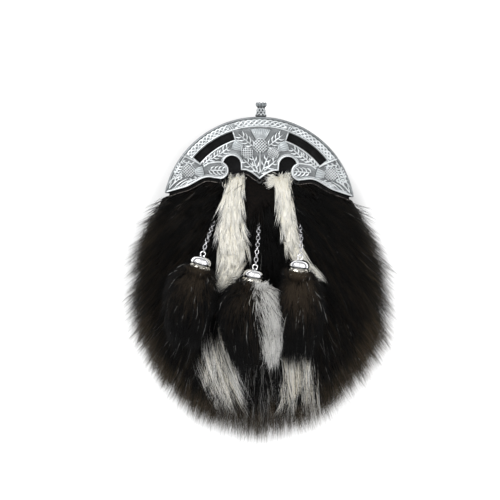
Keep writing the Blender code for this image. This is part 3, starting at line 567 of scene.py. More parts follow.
def leafStrokes(leaf, side):
    foot, tip = (Vector(spot(side * leaf[end][0], leaf[end][1])) for end in ("foot", "tip"))
    ahead = tip - foot
    aside = Vector((-ahead.y, ahead.x)).normalized()
    reach = leaf["lobe"] * cantleR
    way = ahead.normalized()
    lines = [stroke([tuple(foot + ahead * t) for t in np.linspace(0, 1.04, 6)], relief["leafLobe"] * 0.9,
                    0.45 * mm, "blade")]
    for k in range(leaf["pairs"]):
        t = 0.08 + 0.66 * k / max(leaf["pairs"] - 1, 1)
        long = reach * (0.55 + 0.6 * math.sin(math.pi * (0.2 + 0.7 * t)))
        for hand in (-1, 1):
            start = foot + ahead * (t + 0.05 * hand)
            middle = start + aside * hand * long * 0.60 + way * long * 0.30
            end = start + aside * hand * long * 0.95 + way * long * 1.05
            lines.append(stroke(smoothLine([tuple(start), tuple(middle), tuple(end)], 3), relief["leafLobe"],
                                0.32 * mm, "lobe"))
    return lines


def thistleParts(thistle, side):
    # A woven bulb, its crown's hairs, its cup and its stalk
    centre = Vector(spot(side * thistle["bulb"][0], thistle["bulb"][1]))
    size = thistle["size"] * cantleR
    turn = math.radians(thistle["turn"] * side)
    ahead = Vector((-math.sin(turn), math.cos(turn)))
    lines = []
    for weave in (thistle["weave"], thistle["weave"] - 90):
        along = Vector((math.sin(math.radians(weave)), math.cos(math.radians(weave))))
        along = Matrix.Rotation(turn, 2) @ along
        across = Vector((-along.y, along.x))
        for k in range(-thistle["bars"], thistle["bars"] + 1):
            offset = k * size * 0.94 / (thistle["bars"] + 0.25)
            half = math.sqrt(size * size - offset * offset)
            path = []
            for t in np.linspace(-1, 1, 9):
                point = along * half * t + across * offset
                dome = math.sqrt(max(0.0, 1 - (point.length / size) ** 2))
                at = centre + point
                path.append((at.x, at.y, plateTop + (0.25 + 1.25 * dome) * mm, size * relief["weave"]))
            lines.append(path)
    crown = [Vector(spot(side * x, y)) for x, y in thistle["crown"]]
    lower, upper = (crown[0], crown[1]), (crown[5], crown[3])
    hairs = round((upper[1] - upper[0]).length / relief["crownHairs"])
    for t in np.linspace(0.06, 0.94, hairs):
        start = lower[0].lerp(lower[1], t)
        end = upper[0].lerp(upper[1], t)
        lines.append([(start.x, start.y, plateTop + 0.62 * mm, 0.20 * mm),
                      (*start.lerp(end, 0.5), plateTop + 0.68 * mm, 0.26 * mm),
                      (end.x, end.y, plateTop + 0.60 * mm, 0.18 * mm)])
    lines.append(stroke([tuple(crown[0]), tuple(centre + ahead * size * 1.02), tuple(crown[1])],
                        0.36 * mm, 0.70 * mm))
    foot = Vector(spot(side * thistle["stalk"][0], thistle["stalk"][1]))
    root = centre - ahead * size * 0.9
    stalk = stroke([tuple(root), tuple(root.lerp(foot, 0.5)), tuple(foot)], 0.62 * mm, 0.30 * mm, "taper")
    return lines, stalk, [tuple(point) for point in crown]


def domeMesh(thistle, side):
    size = thistle["size"] * cantleR
    bm = bmesh.new()
    bmesh.ops.create_uvsphere(bm, u_segments=20, v_segments=10, radius=1.0)
    place = Matrix.Translation((*spot(side * thistle["bulb"][0], thistle["bulb"][1]), plateTop))
    bmesh.ops.transform(bm, matrix=place @ Matrix.Diagonal((size, size, 1.30 * mm, 1)), verts=bm.verts)
    return meshOf(bm, "bulb")


def knotStrokes(start, end):
    # A three-strand plait along the band
    middle = (cantle["bandInner"] + 1 - cantle["rimWall"] / cantleR) / 2 + 0.003
    waves = round(math.radians(end - start) * middle * cantleR / relief["knotWave"] * 3) / 3
    steps = int(waves * 24)
    lines = []
    for strand in range(3):
        line = []
        for k in range(steps + 1):
            angle = start + (end - start) * k / steps
            turn = math.tau * (waves * k / steps + strand / 3)
            x, y = polar(angle, middle + relief["knotSwing"] * math.sin(turn))
            line.append((x, y, plateTop + (0.22 + 0.24 * math.cos(2 * turn)) * mm, relief["knotStrand"]))
        lines.append(line)
    return lines


lugs = {"left": -29.6 * mm, "middle": 0.0, "right": 29.6 * mm}      # across; each holds a chain


def makeCantle():
    ground, shade, bright, satin, crest, hollow = range(6)
    edge = lowerEdge()
    arch = [polar(angle, 0.992) for angle in np.linspace(-cantle["tipAngle"], cantle["tipAngle"], 90)]
    outline = edge + mirrored(edge)[1:] + arch[1:-1]
    holes = []
    for side in (-1, 1):
        turns = np.linspace(*cantle["window"], 24)
        hole = [polar(side * a, cantle["windowOuter"]) for a in turns]
        holes.append(hole + [polar(side * a, cantle["windowInner"]) for a in turns[::-1]])
    meshes = [inSlot(slab("plate", [outline] + holes, plateLow, plateTop, 0.25 * mm), ground)]

    bm = bmesh.new()                # rim: a rectangle spun round the arch, turned back over the leather
    inner, outer, rise = cantleR - cantle["rimWall"], cantleR, cantle["rimRise"]
    corners = [(inner, cantleLow.z), (outer, cantleLow.z), (outer, plateTop + 0.10 * mm),
               (outer - 0.35 * mm, plateTop + 0.62 * rise), (outer - 0.85 * mm, plateTop + rise),
               (inner + 0.30 * mm, plateTop + rise), (inner, plateTop + 0.4 * rise)]
    tip = math.radians(cantle["tipAngle"])
    ring = [bm.verts.new((-r * math.sin(tip), archY + r * math.cos(tip), z)) for r, z in corners]
    face = bm.faces.new(ring)
    bmesh.ops.spin(bm, geom=[face], cent=(0, archY, 0), axis=(0, 0, -1), dvec=(0, 0, 0), angle=2 * tip,
                   steps=110, use_merge=False, use_duplicate=False)
    bmesh.ops.holes_fill(bm, edges=[e for e in bm.edges if e.is_boundary], sides=0)
    bmesh.ops.recalc_face_normals(bm, faces=bm.faces)
    meshes.append(inSlot(meshOf(bm, "rim"), satin))

    lines, plain, fine = [], [], []
    inset = relief["bead"] * 0.9
    half = shifted(edge, -inset)
    half[-1] = (0.0, edge[-1][1] + 1.5 * inset)
    plain.append(stroke(half + mirrored(half)[1:], relief["bead"], 0.15 * mm))
    half = shifted(edge, -inset * 2.7)[4:-6]
    fine += [stroke(line, relief["fineBead"] * 0.8, 0.02 * mm) for line in (half, mirrored(half))]
    wide = np.linspace(-cantle["window"][1] - 2, cantle["window"][1] + 2, 100)
    plain.append(stroke([polar(a, cantle["bandInner"] + 0.004) for a in wide], relief["bead"] * 0.7,
                        0.15 * mm))
    fine.append(stroke([polar(a, 0.966) for a in np.linspace(-76, 76, 120)], relief["fineBead"], 0.10 * mm))
    for side in (-1, 1):
        turns = np.linspace(cantle["window"][0] - 0.8, cantle["window"][1] + 0.8, 40)
        plain.append(stroke([polar(side * a, cantle["windowInner"] - 0.009) for a in turns],
                            relief["bead"] * 0.8, 0.15 * mm))
        for at, lean in zip(cantle["window"], (-0.7, 0.7)):
            ends = (cantle["windowInner"] - 0.010, cantle["windowOuter"] + 0.010)
            bar = [polar(side * (at + lean), share) for share in ends]
            plain.append(stroke(bar, relief["bead"] * 0.75, 0.15 * mm))
        for step in (-0.5, 0.8):
            foot = polar(side * (cantle["separator"] + step), cantle["bandInner"] + 0.004)
            fine.append(stroke([foot, polar(side * (cantle["separator"] + step + 1.4), 0.972)],
                               relief["fineBead"] * 1.2, 0.18 * mm))
        for path, kind in ridges:
            points = smoothLine([spot(side * x, y) for x, y in path], 5)
            plain.append(stroke(points, relief[kind] * 0.85, 0.18 * mm))
        for leaf in leaves:
            lines += leafStrokes(leaf, side)
        for blade in blades:
            foot, end = (spot(side * blade[at][0], blade[at][1]) for at in ("foot", "tip"))
            bend = ((foot[0] + end[0]) / 2 + side * 0.8 * mm, (foot[1] + end[1]) / 2 + 0.7 * mm)
            lines.append(stroke(smoothLine([foot, bend, end], 5), relief["leafLobe"] * 0.85, 0.32 * mm,
                                "blade"))
    turns = np.linspace(-relief["bandEnd"], relief["bandEnd"], 90)
    band = [polar(a, 0.962) for a in turns] + [polar(a, cantle["bandInner"] + 0.008) for a in turns[::-1]]
    meshes.append(inSlot(slab("band", [band], plateTop - 0.3 * mm, plateTop + 0.08 * mm, 0.04 * mm), satin))
    for start, end in relief["knotSpans"]:
        plain += knotStrokes(start, end)
    for thistle in thistles:
        for side in (1, -1)[:1 if thistle["turn"] == 0 else 2]:
            woven, stalk, crown = thistleParts(thistle, side)
            fine += woven
            lines.append(stalk)
            meshes.append(inSlot(domeMesh(thistle, side), hollow))
            bed = shifted(crown + crown[:1], -side * 0.45 * mm)
            sunk = plateTop - 0.4 * mm
            meshes.append(inSlot(slab("crown", [crown], sunk, plateTop + 0.62 * mm, 0.2 * mm), crest))
            meshes.append(inSlot(slab("crown_bed", [bed], sunk, plateTop + 0.16 * mm, 0.1 * mm), shade))
    meshes.append(inSlot(strokes("shadows", [shadowOf(line) for line in lines], 0), shade))
    meshes.append(inSlot(strokes("relief", lines + fine), bright))
    meshes.append(inSlot(strokes("beads", plain), bright))

    for name, x in lugs.items():
        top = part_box("tassel_chain_" + name)[1].y
        bm = wireRing(1.8 * mm, 0.5 * mm, 8, 18)
        bmesh.ops.transform(bm, matrix=Matrix.Translation((x, top + 0.2 * mm, plateLow + 1.0 * mm)),
                            verts=bm.verts)
        meshes.append(inSlot(meshOf(bm, "lug"), shade))

    pewter = [pewterFinish("pewter_ground", grey(0.07, 0.08), grey(0.26, 0.08), 0.46),
              pewterFinish("pewter_recess", grey(0.015, 0.06), grey(0.06, 0.06), 0.60),
              pewterFinish("pewter_bright", grey(0.48, 0.06), grey(0.82, 0.05), 0.34),
              pewterFinish("pewter_satin", grey(0.16, 0.09), grey(0.34, 0.09), 0.40),
              pewterFinish("pewter_crowns", grey(0.25, 0.10), grey(0.42, 0.10), 0.40),
              pewterFinish("pewter_bulbs", grey(0.018, 0.08), grey(0.075, 0.08), 0.50)]
    piece = finished("cantle_cast", joined("cantle_cast", meshes), "antique_pewter", *pewter)
    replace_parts(piece, "cantle")


makeCantle()
print("cantle done")


# Finial: a thistle head over pointed leaves and a flared foot

finial = {"petals": 8, "leafRows": 3, "leavesRound": 8}


def makeFinial():
    low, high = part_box("thistle_finial")
    height, radius = high.y - low.y, (high.x - low.x) / 2
    profile = [(0, 0), (0.84, 0), (0.92, 0.05), (0.80, 0.12), (0.58, 0.26), (0.50, 0.45), (0.56, 0.60),
               (0.74, 0.70), (0.80, 0.82), (0.66, 0.92), (0.40, 0.95), (0, 0.93)]
    foot = Matrix.Translation((0, low.y, (low.z + high.z) / 2)) @ Matrix.Rotation(-math.pi / 2, 4, "X")
    meshes = [inSlot(turnedMesh("knob", [(r * radius, h * height) for r, h in profile], 28, foot), 1)]
    for k in range(finial["petals"]):
        turn = math.tau * (k + 0.5) / finial["petals"]
        bm = bmesh.new()
        bmesh.ops.create_uvsphere(bm, u_segments=12, v_segments=8, radius=1.0)
        place = foot @ Matrix.Rotation(turn, 4, "Z") @ Matrix.Translation((radius * 0.68, 0, height * 0.83))
        place = place @ Matrix.Rotation(math.radians(14), 4, "Y")
        place = place @ Matrix.Diagonal((radius * 0.28, radius * 0.31, height * 0.17, 1))
        bmesh.ops.transform(bm, matrix=place, verts=bm.verts)
        meshes.append(inSlot(meshOf(bm, "petal"), 0))
    lines = []
    for row in range(finial["leafRows"]):
        for k in range(finial["leavesRound"]):
            turn = math.tau * (k + 0.5 * row) / finial["leavesRound"]
            base = 0.08 + 0.17 * row
            tip = Vector((math.cos(turn), math.sin(turn), 0))
            for side in (-0.36, 0.36):
                wing = Vector((math.cos(turn + side), math.sin(turn + side), 0))
                shoulder = wing * radius * (0.80 - 0.09 * row) + Vector((0, 0, (base + 0.20) * height))
                point = tip * radius * (0.82 - 0.09 * row) + Vector((0, 0, base * height))
                lines.append([(*(foot @ shoulder), 0.34 * mm), (*(foot @ point), 0.46 * mm)])
    meshes.append(inSlot(strokes("leaves", lines), 2))
    cast = [pewterFinish("finial_petals", grey(0.12, 0.12), grey(0.36, 0.10), 0.42),
            pewterFinish("finial_recess", grey(0.05, 0.06), grey(0.16, 0.06), 0.55),
            pewterFinish("finial_bright", grey(0.44, 0.06), grey(0.74, 0.05), 0.34)]
    piece = finished("finial_cast", joined("finial_cast", meshes), "antique_pewter", *cast)
    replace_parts(piece, "thistle_finial")


makeFinial()
print("finial done")


# Leather pocket: the solids stay, with a grained finish, and the cantle's backing gets its raw edge

def makeLeather():
    nodes = frame["nodes"]
    smooth = leatherPaintedSheenFinish("black_leather", (0.0012, 0.0012, 0.0014), 0.34)
    steel = chromeFinish("steel_ring", (0.62, 0.63, 0.64), 0.24)
    hides = ("back_panel", "gusset", "front_panel", "cantle_backing", "strap_tab_left", "strap_tab_right")
    rings = ("strap_ring_left", "strap_ring_right")
    for name in hides + rings:
        nodes[name].data.materials.clear()
        nodes[name].data.materials.append(steel if name in rings else smooth)
        if name in rings:
            nodes[name].data.shade_smooth()
    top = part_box("cantle_backing")[1].z
    half = [(x, y + 0.05 * mm) for x, y in marginLine()]
    half[-1] = (0.0, half[-1][1])
    line = [(x, y, top - 0.16 * mm, 0.26 * mm) for x, y in smoothLine(half, 4)]
    whole = line + [(-x, y, z, r) for x, y, z, r in reversed(line)][1:]
    hide = Finish("raw_edge", {"Roughness": 0.9})
    fibre = hide.noise(900.0, 3.0)
    hide.feed({"Base Color": hide.ramp(fibre, [(0.42, (0.02, 0.018, 0.015)), (0.66, (0.26, 0.23, 0.21))]),
               "Normal": hide.bump(fibre, 0.2 * mm)})
    finished("backing_raw_edge", joined("backing_raw_edge", [strokes("edge", [whole])]), "black_leather",
             hide.material)


makeLeather()
print("leather done")


# Hair

pelt = {
    "hubRise": 37.5 * mm,           # the hair fans out from here, above the arch's centre
    "reach": 212 * mm,
    "loft": 10 * mm,
    "rise": 55 * mm,
    "shoulder": 40 * mm,
    "edgeSink": 0.35,
    "hem": 6.5 * mm,
    "depth": 4.6 * mm,              # hair over the skin
    "tips": [(-72, 0.396), (-60, 0.519), (-48, 0.642), (-36, 0.778), (-24, 0.887), (-12, 0.972), (0, 1.000),
             (12, 0.972), (24, 0.887), (36, 0.807), (48, 0.665), (60, 0.514), (72, 0.373)],
    "fall": [(0.0, 0.0), (0.45, 0.30), (0.80, 0.66), (1.0, 1.0)],
}
panelLow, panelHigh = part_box("front_panel")
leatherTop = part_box("cantle_backing")[1].z
hubY = archY + pelt["hubRise"]
bowlR = panelHigh.x
bowlY = panelLow.y + bowlR
archR = panelHigh.y - archY
sideLean = math.asin((bowlR - archR) / (archY - bowlY))


def edgeDistance(x, y):
    # How far inside the pocket's outline
    x, rise = np.abs(x), y - archY
    down = x * math.sin(sideLean) - rise * math.cos(sideLean)
    side = archR - x * math.cos(sideLean) - rise * math.sin(sideLean)
    bowl = bowlR - np.hypot(x, y - bowlY)
    return np.where(down < 0, archR - np.hypot(x, rise),
                    np.where(down > (archY - bowlY) * math.cos(sideLean), bowl, side))


def rayPoint(angle, reach):
    turn = np.radians(angle)
    return reach * np.sin(turn), hubY - reach * np.cos(turn)


rayAngles = np.linspace(-90, 90, 181)
rayReach = np.linspace(0, pelt["reach"], 500)
rayX, rayY = rayPoint(rayAngles[:, None], rayReach[None, :])
rayEdge = rayReach[np.argmin(np.where(rayReach > 30 * mm, np.abs(edgeDistance(rayX, rayY)), 1.0), axis=1)]


def edgeReach(angle):
    return np.interp(angle, rayAngles, rayEdge)


def tipReach(angle):
    return pelt["reach"] * readOff(pelt["tips"], angle)


def furTop(x, y):
    below = np.clip((marginY(x) - y) / pelt["rise"], 0, 1)
    crown = 1 - pelt["edgeSink"] * (1 - np.clip(edgeDistance(x, y) / pelt["shoulder"], 0, 1)) ** 2
    return leatherTop + pelt["loft"] * (1 - (1 - below) ** 2) * crown


def outward(x, y):
    # The angle from straight down, the reach from the hub, and the share of the way past the leather
    angle = np.degrees(np.arctan2(x, hubY - y))
    reach = np.hypot(x, hubY - y)
    past = (reach - edgeReach(angle)) / np.maximum(tipReach(angle) - edgeReach(angle), 4 * mm)
    return angle, reach, past


def coatZ(x, y):
    # Height of the coat's upper surface, falling to the hem past the leather
    angle, reach, past = outward(x, y)
    inX, inY = rayPoint(angle, np.minimum(reach, edgeReach(angle) - 0.5 * mm))
    top = furTop(inX, inY)
    return top + (pelt["hem"] - top) * readOff(pelt["fall"], past)


def bent(start, middle, end, shares):
    shares = shares[:, :, None]
    return (start[:, None] * (1 - shares) ** 2 + middle[:, None] * 2 * shares * (1 - shares)
            + end[:, None] * shares ** 2)


def strandMesh(name, paths, widths, kinds):
    # Each hair is a closed three-sided spindle: a root point, two rings of three and a tip
    count = len(paths)
    ahead = paths[:, 2:4] - paths[:, 0:2]
    ahead /= np.linalg.norm(ahead, axis=2, keepdims=True) + 1e-12
    side = np.cross(ahead, np.array([0.02, 0.01, 1.0]))
    side /= np.linalg.norm(side, axis=2, keepdims=True) + 1e-12
    over = np.cross(side, ahead)
    turns = np.radians([90, 210, 330])
    swell = np.array([1.0, 0.85])[None, :, None, None]
    ring = np.cos(turns)[:, None] * side[:, :, None] + np.sin(turns)[:, None] * over[:, :, None]
    rings = paths[:, 1:3, None] + widths[:, None, None, None] / 2 * swell * ring
    points = np.concatenate([paths[:, :1], rings.reshape(count, 6, 3), paths[:, 3:]], axis=1)
    points[..., 2] = np.maximum(points[..., 2], 0.4 * mm)
    faces, across, along = [], [], []
    for j in range(3):
        k = (j + 1) % 3
        faces += [[0, 1 + j, 1 + k], [1 + j, 4 + j, 4 + k, 1 + k], [4 + j, 7, 4 + k]]
        across += [[j + 0.5, j, j + 1], [j, j, j + 1, j + 1], [j, j + 0.5, j + 1]]
        along += [[0.0, 0.33, 0.33], [0.33, 0.67, 0.67, 0.33], [0.67, 1.0, 0.67]]
    corners = np.array([corner for face in faces for corner in face])
    sizes = np.array([len(face) for face in faces])
    mesh = bpy.data.meshes.new(name)
    mesh.vertices.add(count * 8)
    mesh.vertices.foreach_set("co", points.astype(np.float32).ravel())
    mesh.loops.add(count * len(corners))
    mesh.loops.foreach_set("vertex_index", (corners[None] + 8 * np.arange(count)[:, None])
                           .astype(np.int32).ravel())
    mesh.polygons.add(count * len(faces))
    starts = np.concatenate([[0], np.cumsum(sizes)[:-1]])
    mesh.polygons.foreach_set("loop_start", (starts[None] + len(corners) * np.arange(count)[:, None])
                              .astype(np.int32).ravel())
    mesh.update(calc_edges=True)
    u = kinds[:, None] + 0.004 * np.array([a for row in across for a in row])[None]
    v = np.broadcast_to(np.array([a for row in along for a in row])[None], u.shape)
    layer = mesh.uv_layers.new(name="OFBake")
    layer.uv.foreach_set("vector", np.stack([np.clip(u, 0, 1), v], 2).astype(np.float32).ravel())
    mesh.validate()
    mesh.shade_smooth()
    return mesh


def tufts(dice, roots, mids, tips, each, spread, pull, frizz, shorten):
    # Hairs of each tuft: they start apart and close up towards the tuft's tip
    start, middle, end = (np.repeat(points, each, 0) for points in (roots, mids, tips))
    count = len(start)
    apart = dice.normal(0, spread, (count, 3)) * [1, 1, 0.35]
    stray = dice.normal(0, frizz, (count, 3)) * [1, 1, 0.45]
    shares = np.linspace(0, 1, 4)[None] * dice.uniform(shorten, 1.05, (count, 1))
    paths = bent(start + apart, middle + apart * (1 - pull / 2) + stray * 0.5,
                 end + apart * (1 - pull) + stray, shares)
    paths[:, 1:3, :2] += dice.normal(0, frizz * 0.16, (count, 2, 2))
    return paths


blackFur = {
    "pieces": [("left", -74, -18), ("middle", -18, 18), ("right", 18, 74)],
    "coatTufts": 860,
    "rimTufts": 640,
    "rimBand": 32 * mm,             # the rim's hair is rooted this close to the leather's edge
    "hairs": 9,
    "length": 46 * mm,
    "width": 0.36 * mm,
    "tries": 3,                     # places drawn for each tuft, some of which fall off the coat
    "trim": [(-66, 0.05), (-50, 0.02), (-36, 0.0), (-26, -0.02), (-12, -0.01), (0, 0.01), (40, 0.015),
             (64, 0.04)],           # the hair tips' own line, past the pelt's
    "brown": (0.03, 0.20),          # share of brown hairs, and what the sides add to it
    "tan": (0.26, 0.40),            # share of tan tips past the leather, and what the lower part adds
    "tanBelow": -55 * mm,
    "pale": 0.017,                  # share of pale hairs: partly grey hair, partly painted glints on the black
    "paleBelow": -60 * mm,
    "palest": 34 * mm,              # half the width of the middle, where the most pale hairs are
}


def blackPaths(dice, low, high, rim):
    count = blackFur["rimTufts" if rim else "coatTufts"]
    turns = np.linspace(low, high, 200)
    weight = np.cumsum(edgeReach(turns) ** (1 if rim else 2))
    tries = count * blackFur["tries"]
    angle = np.interp(dice.uniform(0, weight[-1], tries), weight, turns)
    share = dice.uniform(0, 1, tries)
    edge = edgeReach(angle) - 1.2 * mm
    reach = edge - share ** 1.4 * blackFur["rimBand"] if rim else edge * np.sqrt(0.02 + 0.98 * share)
    x, y = rayPoint(angle, reach)
    kept = np.flatnonzero((y < marginY(x) - 1.2 * mm) & (edgeDistance(x, y) > 0.8 * mm))[:count]
    x, y, angle, reach = x[kept], y[kept], angle[kept], reach[kept]
    count = len(x)
    trim = 1 + readOff(blackFur["trim"], angle)
    room = tipReach(angle) * trim * (1.050 - 0.13 * dice.uniform(0, 1, count) ** 2) - reach
    length = blackFur["length"] * dice.uniform(0.70, 1.15, count)
    near = np.clip((marginY(x) - y) / (24 * mm), 0.30, 1.0)
    length = np.maximum(room if rim else np.minimum(length * near, room), 8 * mm)
    turn = np.radians(angle * (1 - 0.26 * (angle / 75) ** 2) + dice.normal(0, 6.5, count))
    ahead = np.stack([np.sin(turn), -np.cos(turn)], 1)
    bow = np.stack([-ahead[:, 1], ahead[:, 0]], 1) * dice.normal(0, 0.08, (count, 1))
    root = np.stack([x, y], 1)
    tip = root + ahead * length[:, None]
    mid = root + (ahead * 0.55 + bow) * length[:, None]
    depth = pelt["depth"] * np.clip((marginY(x) - y) / (25 * mm), 0.35, 1.0)
    layer = dice.uniform(-1.0, 0.25, count) * depth
    past = outward(*tip.T)[2]
    midZ = coatZ(*mid.T) + layer * 0.6 + 0.8 * mm * near + 2.4 * mm * (1 - near)
    droop = np.where(past > 0, dice.uniform(0.30, 1.0, count), 1.0)
    tipZ = coatZ(*tip.T) * droop + coatZ(*mid.T) * (1 - droop) + layer
    paths = tufts(dice, np.column_stack([root, coatZ(x, y) - depth]), np.column_stack([mid, midZ]),
                  np.column_stack([tip, tipZ]), blackFur["hairs"], 2.0 * mm, 0.55, 1.6 * mm, 0.72)
    return paths, np.repeat(np.clip(past, 0, 1), blackFur["hairs"])


def makeBlackFur():
    fur = furFinish("black_fur", 0.42, 0.12, 3.5)
    for number, (name, low, high) in enumerate(blackFur["pieces"]):
        dice = np.random.default_rng(70 + number)
        coat, rim = (blackPaths(dice, low, high, at) for at in (False, True))
        paths, past = (np.concatenate(pair) for pair in zip(coat, rim))
        count = len(paths)
        kinds = dice.uniform(0.0, 0.18, count)
        x, y = paths[:, 3, 0], paths[:, 3, 1]
        sides = np.clip((np.abs(x) - 40 * mm) / (50 * mm), 0, 1)
        brown = dice.uniform(0, 1, count) < blackFur["brown"][0] + blackFur["brown"][1] * sides
        kinds[brown] = dice.uniform(0.22, 0.32, brown.sum())
        tanShare = blackFur["tan"][0] + blackFur["tan"][1] * (y < blackFur["tanBelow"])
        tan = (past > 0.70) & (dice.uniform(0, 1, count) < tanShare)
        kinds[tan] = dice.uniform(0.42, 0.58, tan.sum())
        # Pale hairs are partly real pale hair and partly painted glints on the black; there are more of them
        # low down and the most between the white bunches.
        hem = y < blackFur["paleBelow"]
        between = hem & (np.abs(x) < blackFur["palest"])        # the two white bunches
        pale = dice.uniform(0, 1, count) < blackFur["pale"] * (0.3 + hem + 13 * between)
        kinds[pale] = dice.uniform(0.61, 0.72, pale.sum())
        widths = blackFur["width"] * dice.uniform(0.7, 1.2, count) * (1 - 0.25 * past)
        widths[pale] *= 0.45
        mesh = strandMesh("black_fur_" + name, paths, widths, kinds)
        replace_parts(finished("black_fur_" + name, mesh, "black_fur", fur), "fur_pelt")


undercoat = {
    "limit": 71.0,                  # degrees to each side
    "rays": 97,
    "past": (0.46, 0.60),           # how far it goes past the leather, as a share of the hair's way
    "body": (0.08, 0.18, 0.32, 0.5, 0.7, 0.88),
    "hem": (0.0, 0.35, 0.7, 1.0),
}


def makeUndercoat():
    # The closed skin under the long hair: rays from the leather's margin to the hem, as the solid has
    rings = []
    dice = np.random.default_rng(5)
    limit = undercoat["limit"]
    for angle in np.linspace(-limit, limit, undercoat["rays"]):
        edge = edgeReach(angle)
        tip = edge + (tipReach(angle) - edge) * dice.uniform(*undercoat["past"])
        startX = (archR - 2 * mm) * math.sin(math.radians(angle)) / math.sin(math.radians(limit + 1))
        startY = float(min(marginY(startX + step) for step in (-1.5 * mm, 0, 1.5 * mm))) - 0.3 * mm
        edgeX, edgeY = rayPoint(angle, edge)
        points = [(startX, startY, panelHigh.z + 0.3 * mm), (startX, startY, leatherTop - 0.9 * mm)]
        for share in undercoat["body"]:
            x, y = startX + (edgeX - startX) * share, startY + (edgeY - startY) * share
            thin = min(1.0, 0.3 + share * 2)
            points.append((x, y, float(furTop(x, y)) - pelt["depth"] * thin * 0.85))
        for share in undercoat["hem"]:
            x, y = rayPoint(angle, edge + (tip - edge) * share)
            points.append((float(x), float(y), float(coatZ(x, y)) - (3.5 - 1.2 * share) * mm))
        wallX, wallY = (float(value) for value in rayPoint(angle, edge + 0.8 * mm))
        points += [(wallX, wallY, pelt["hem"] - 1.5 * mm), (wallX, wallY, panelHigh.z + 0.3 * mm)]
        rings.append(points)
    look = undercoatFinish("fur_undercoat", (0.001, 0.001, 0.001), (0.006, 0.004, 0.003))
    piece = finished("fur_undercoat", loftMesh("fur_undercoat", rings), "black_fur", look)
    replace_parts(piece, "fur_pelt")


makeUndercoat()
makeBlackFur()
print("black fur done")


# White strips: rows of height, left edge and right edge on the coat

strips = {
    "left": {
        "rows": [(68.6, -22.4, -11.4), (61.0, -26.6, -12.4), (50.0, -25.6, -15.4), (37.6, -27.6, -15.2),
                 (25.8, -35.0, -12.4), (14.0, -32.0, -8.8), (3.8, -30.4, -6.8), (-8.0, -30.2, -10.6),
                 (-20.0, -31.0, -23.5), (-30.0, -34.0, -26.0), (-45.0, -41.0, -26.0), (-61.0, -47.0, -25.0),
                 (-68.0, -49.0, -22.0), (-82.0, -48.0, -20.0), (-96.0, -46.0, -16.0), (-110.0, -41.0, -12.0),
                 (-128.0, -24.0, -4.0)],
        "tufts": 330, "thinTufts": 48, "crestTufts": 30,
        "fan": (-0.26, 0.14),           # how the hair at each edge spreads, over its length
        "crest": (2 * mm, 2 * mm),      # how far the hair at the top stands out to each side
        "foot": -27 * mm,               # where the thick hair ends, under the tassels
        "bunch": (-98.0, -50.0),        # where the thin hair of the lower bunch is rooted
        "parted": False,
    },
    "right": {
        "rows": [(69.5, 10.0, 22.0), (65.0, 10.0, 24.0), (58.0, 13.6, 26.6), (50.0, 16.2, 25.6),
                 (36.2, 17.0, 26.4), (24.4, 19.4, 27.8), (12.4, 21.6, 31.4), (-2.0, 27.0, 42.0),
                 (-12.0, 38.0, 49.0), (-20.0, 42.0, 52.0), (-45.0, 27.0, 43.0), (-60.0, 24.0, 43.0),
                 (-72.0, 22.5, 43.0), (-104.0, 24.0, 45.0), (-136.0, 26.0, 47.0)],
        "tufts": 250, "thinTufts": 66, "crestTufts": 70,
        "fan": (-0.20, 0.24),
        "crest": (12 * mm, 4 * mm),
        "foot": -17 * mm,
        "bunch": (-106.0, -62.0),
        "parted": True,                 # its lower bunch hangs in two clumps
    },
}
stripEnd = -133 * mm                    # the lowest that the thin hair is meant to reach


def stripEdges(rows, y):
    heights = [row[0] * mm for row in rows][::-1]
    return (np.interp(y, heights, [row[side] * mm for row in rows][::-1]) for side in (1, 2))


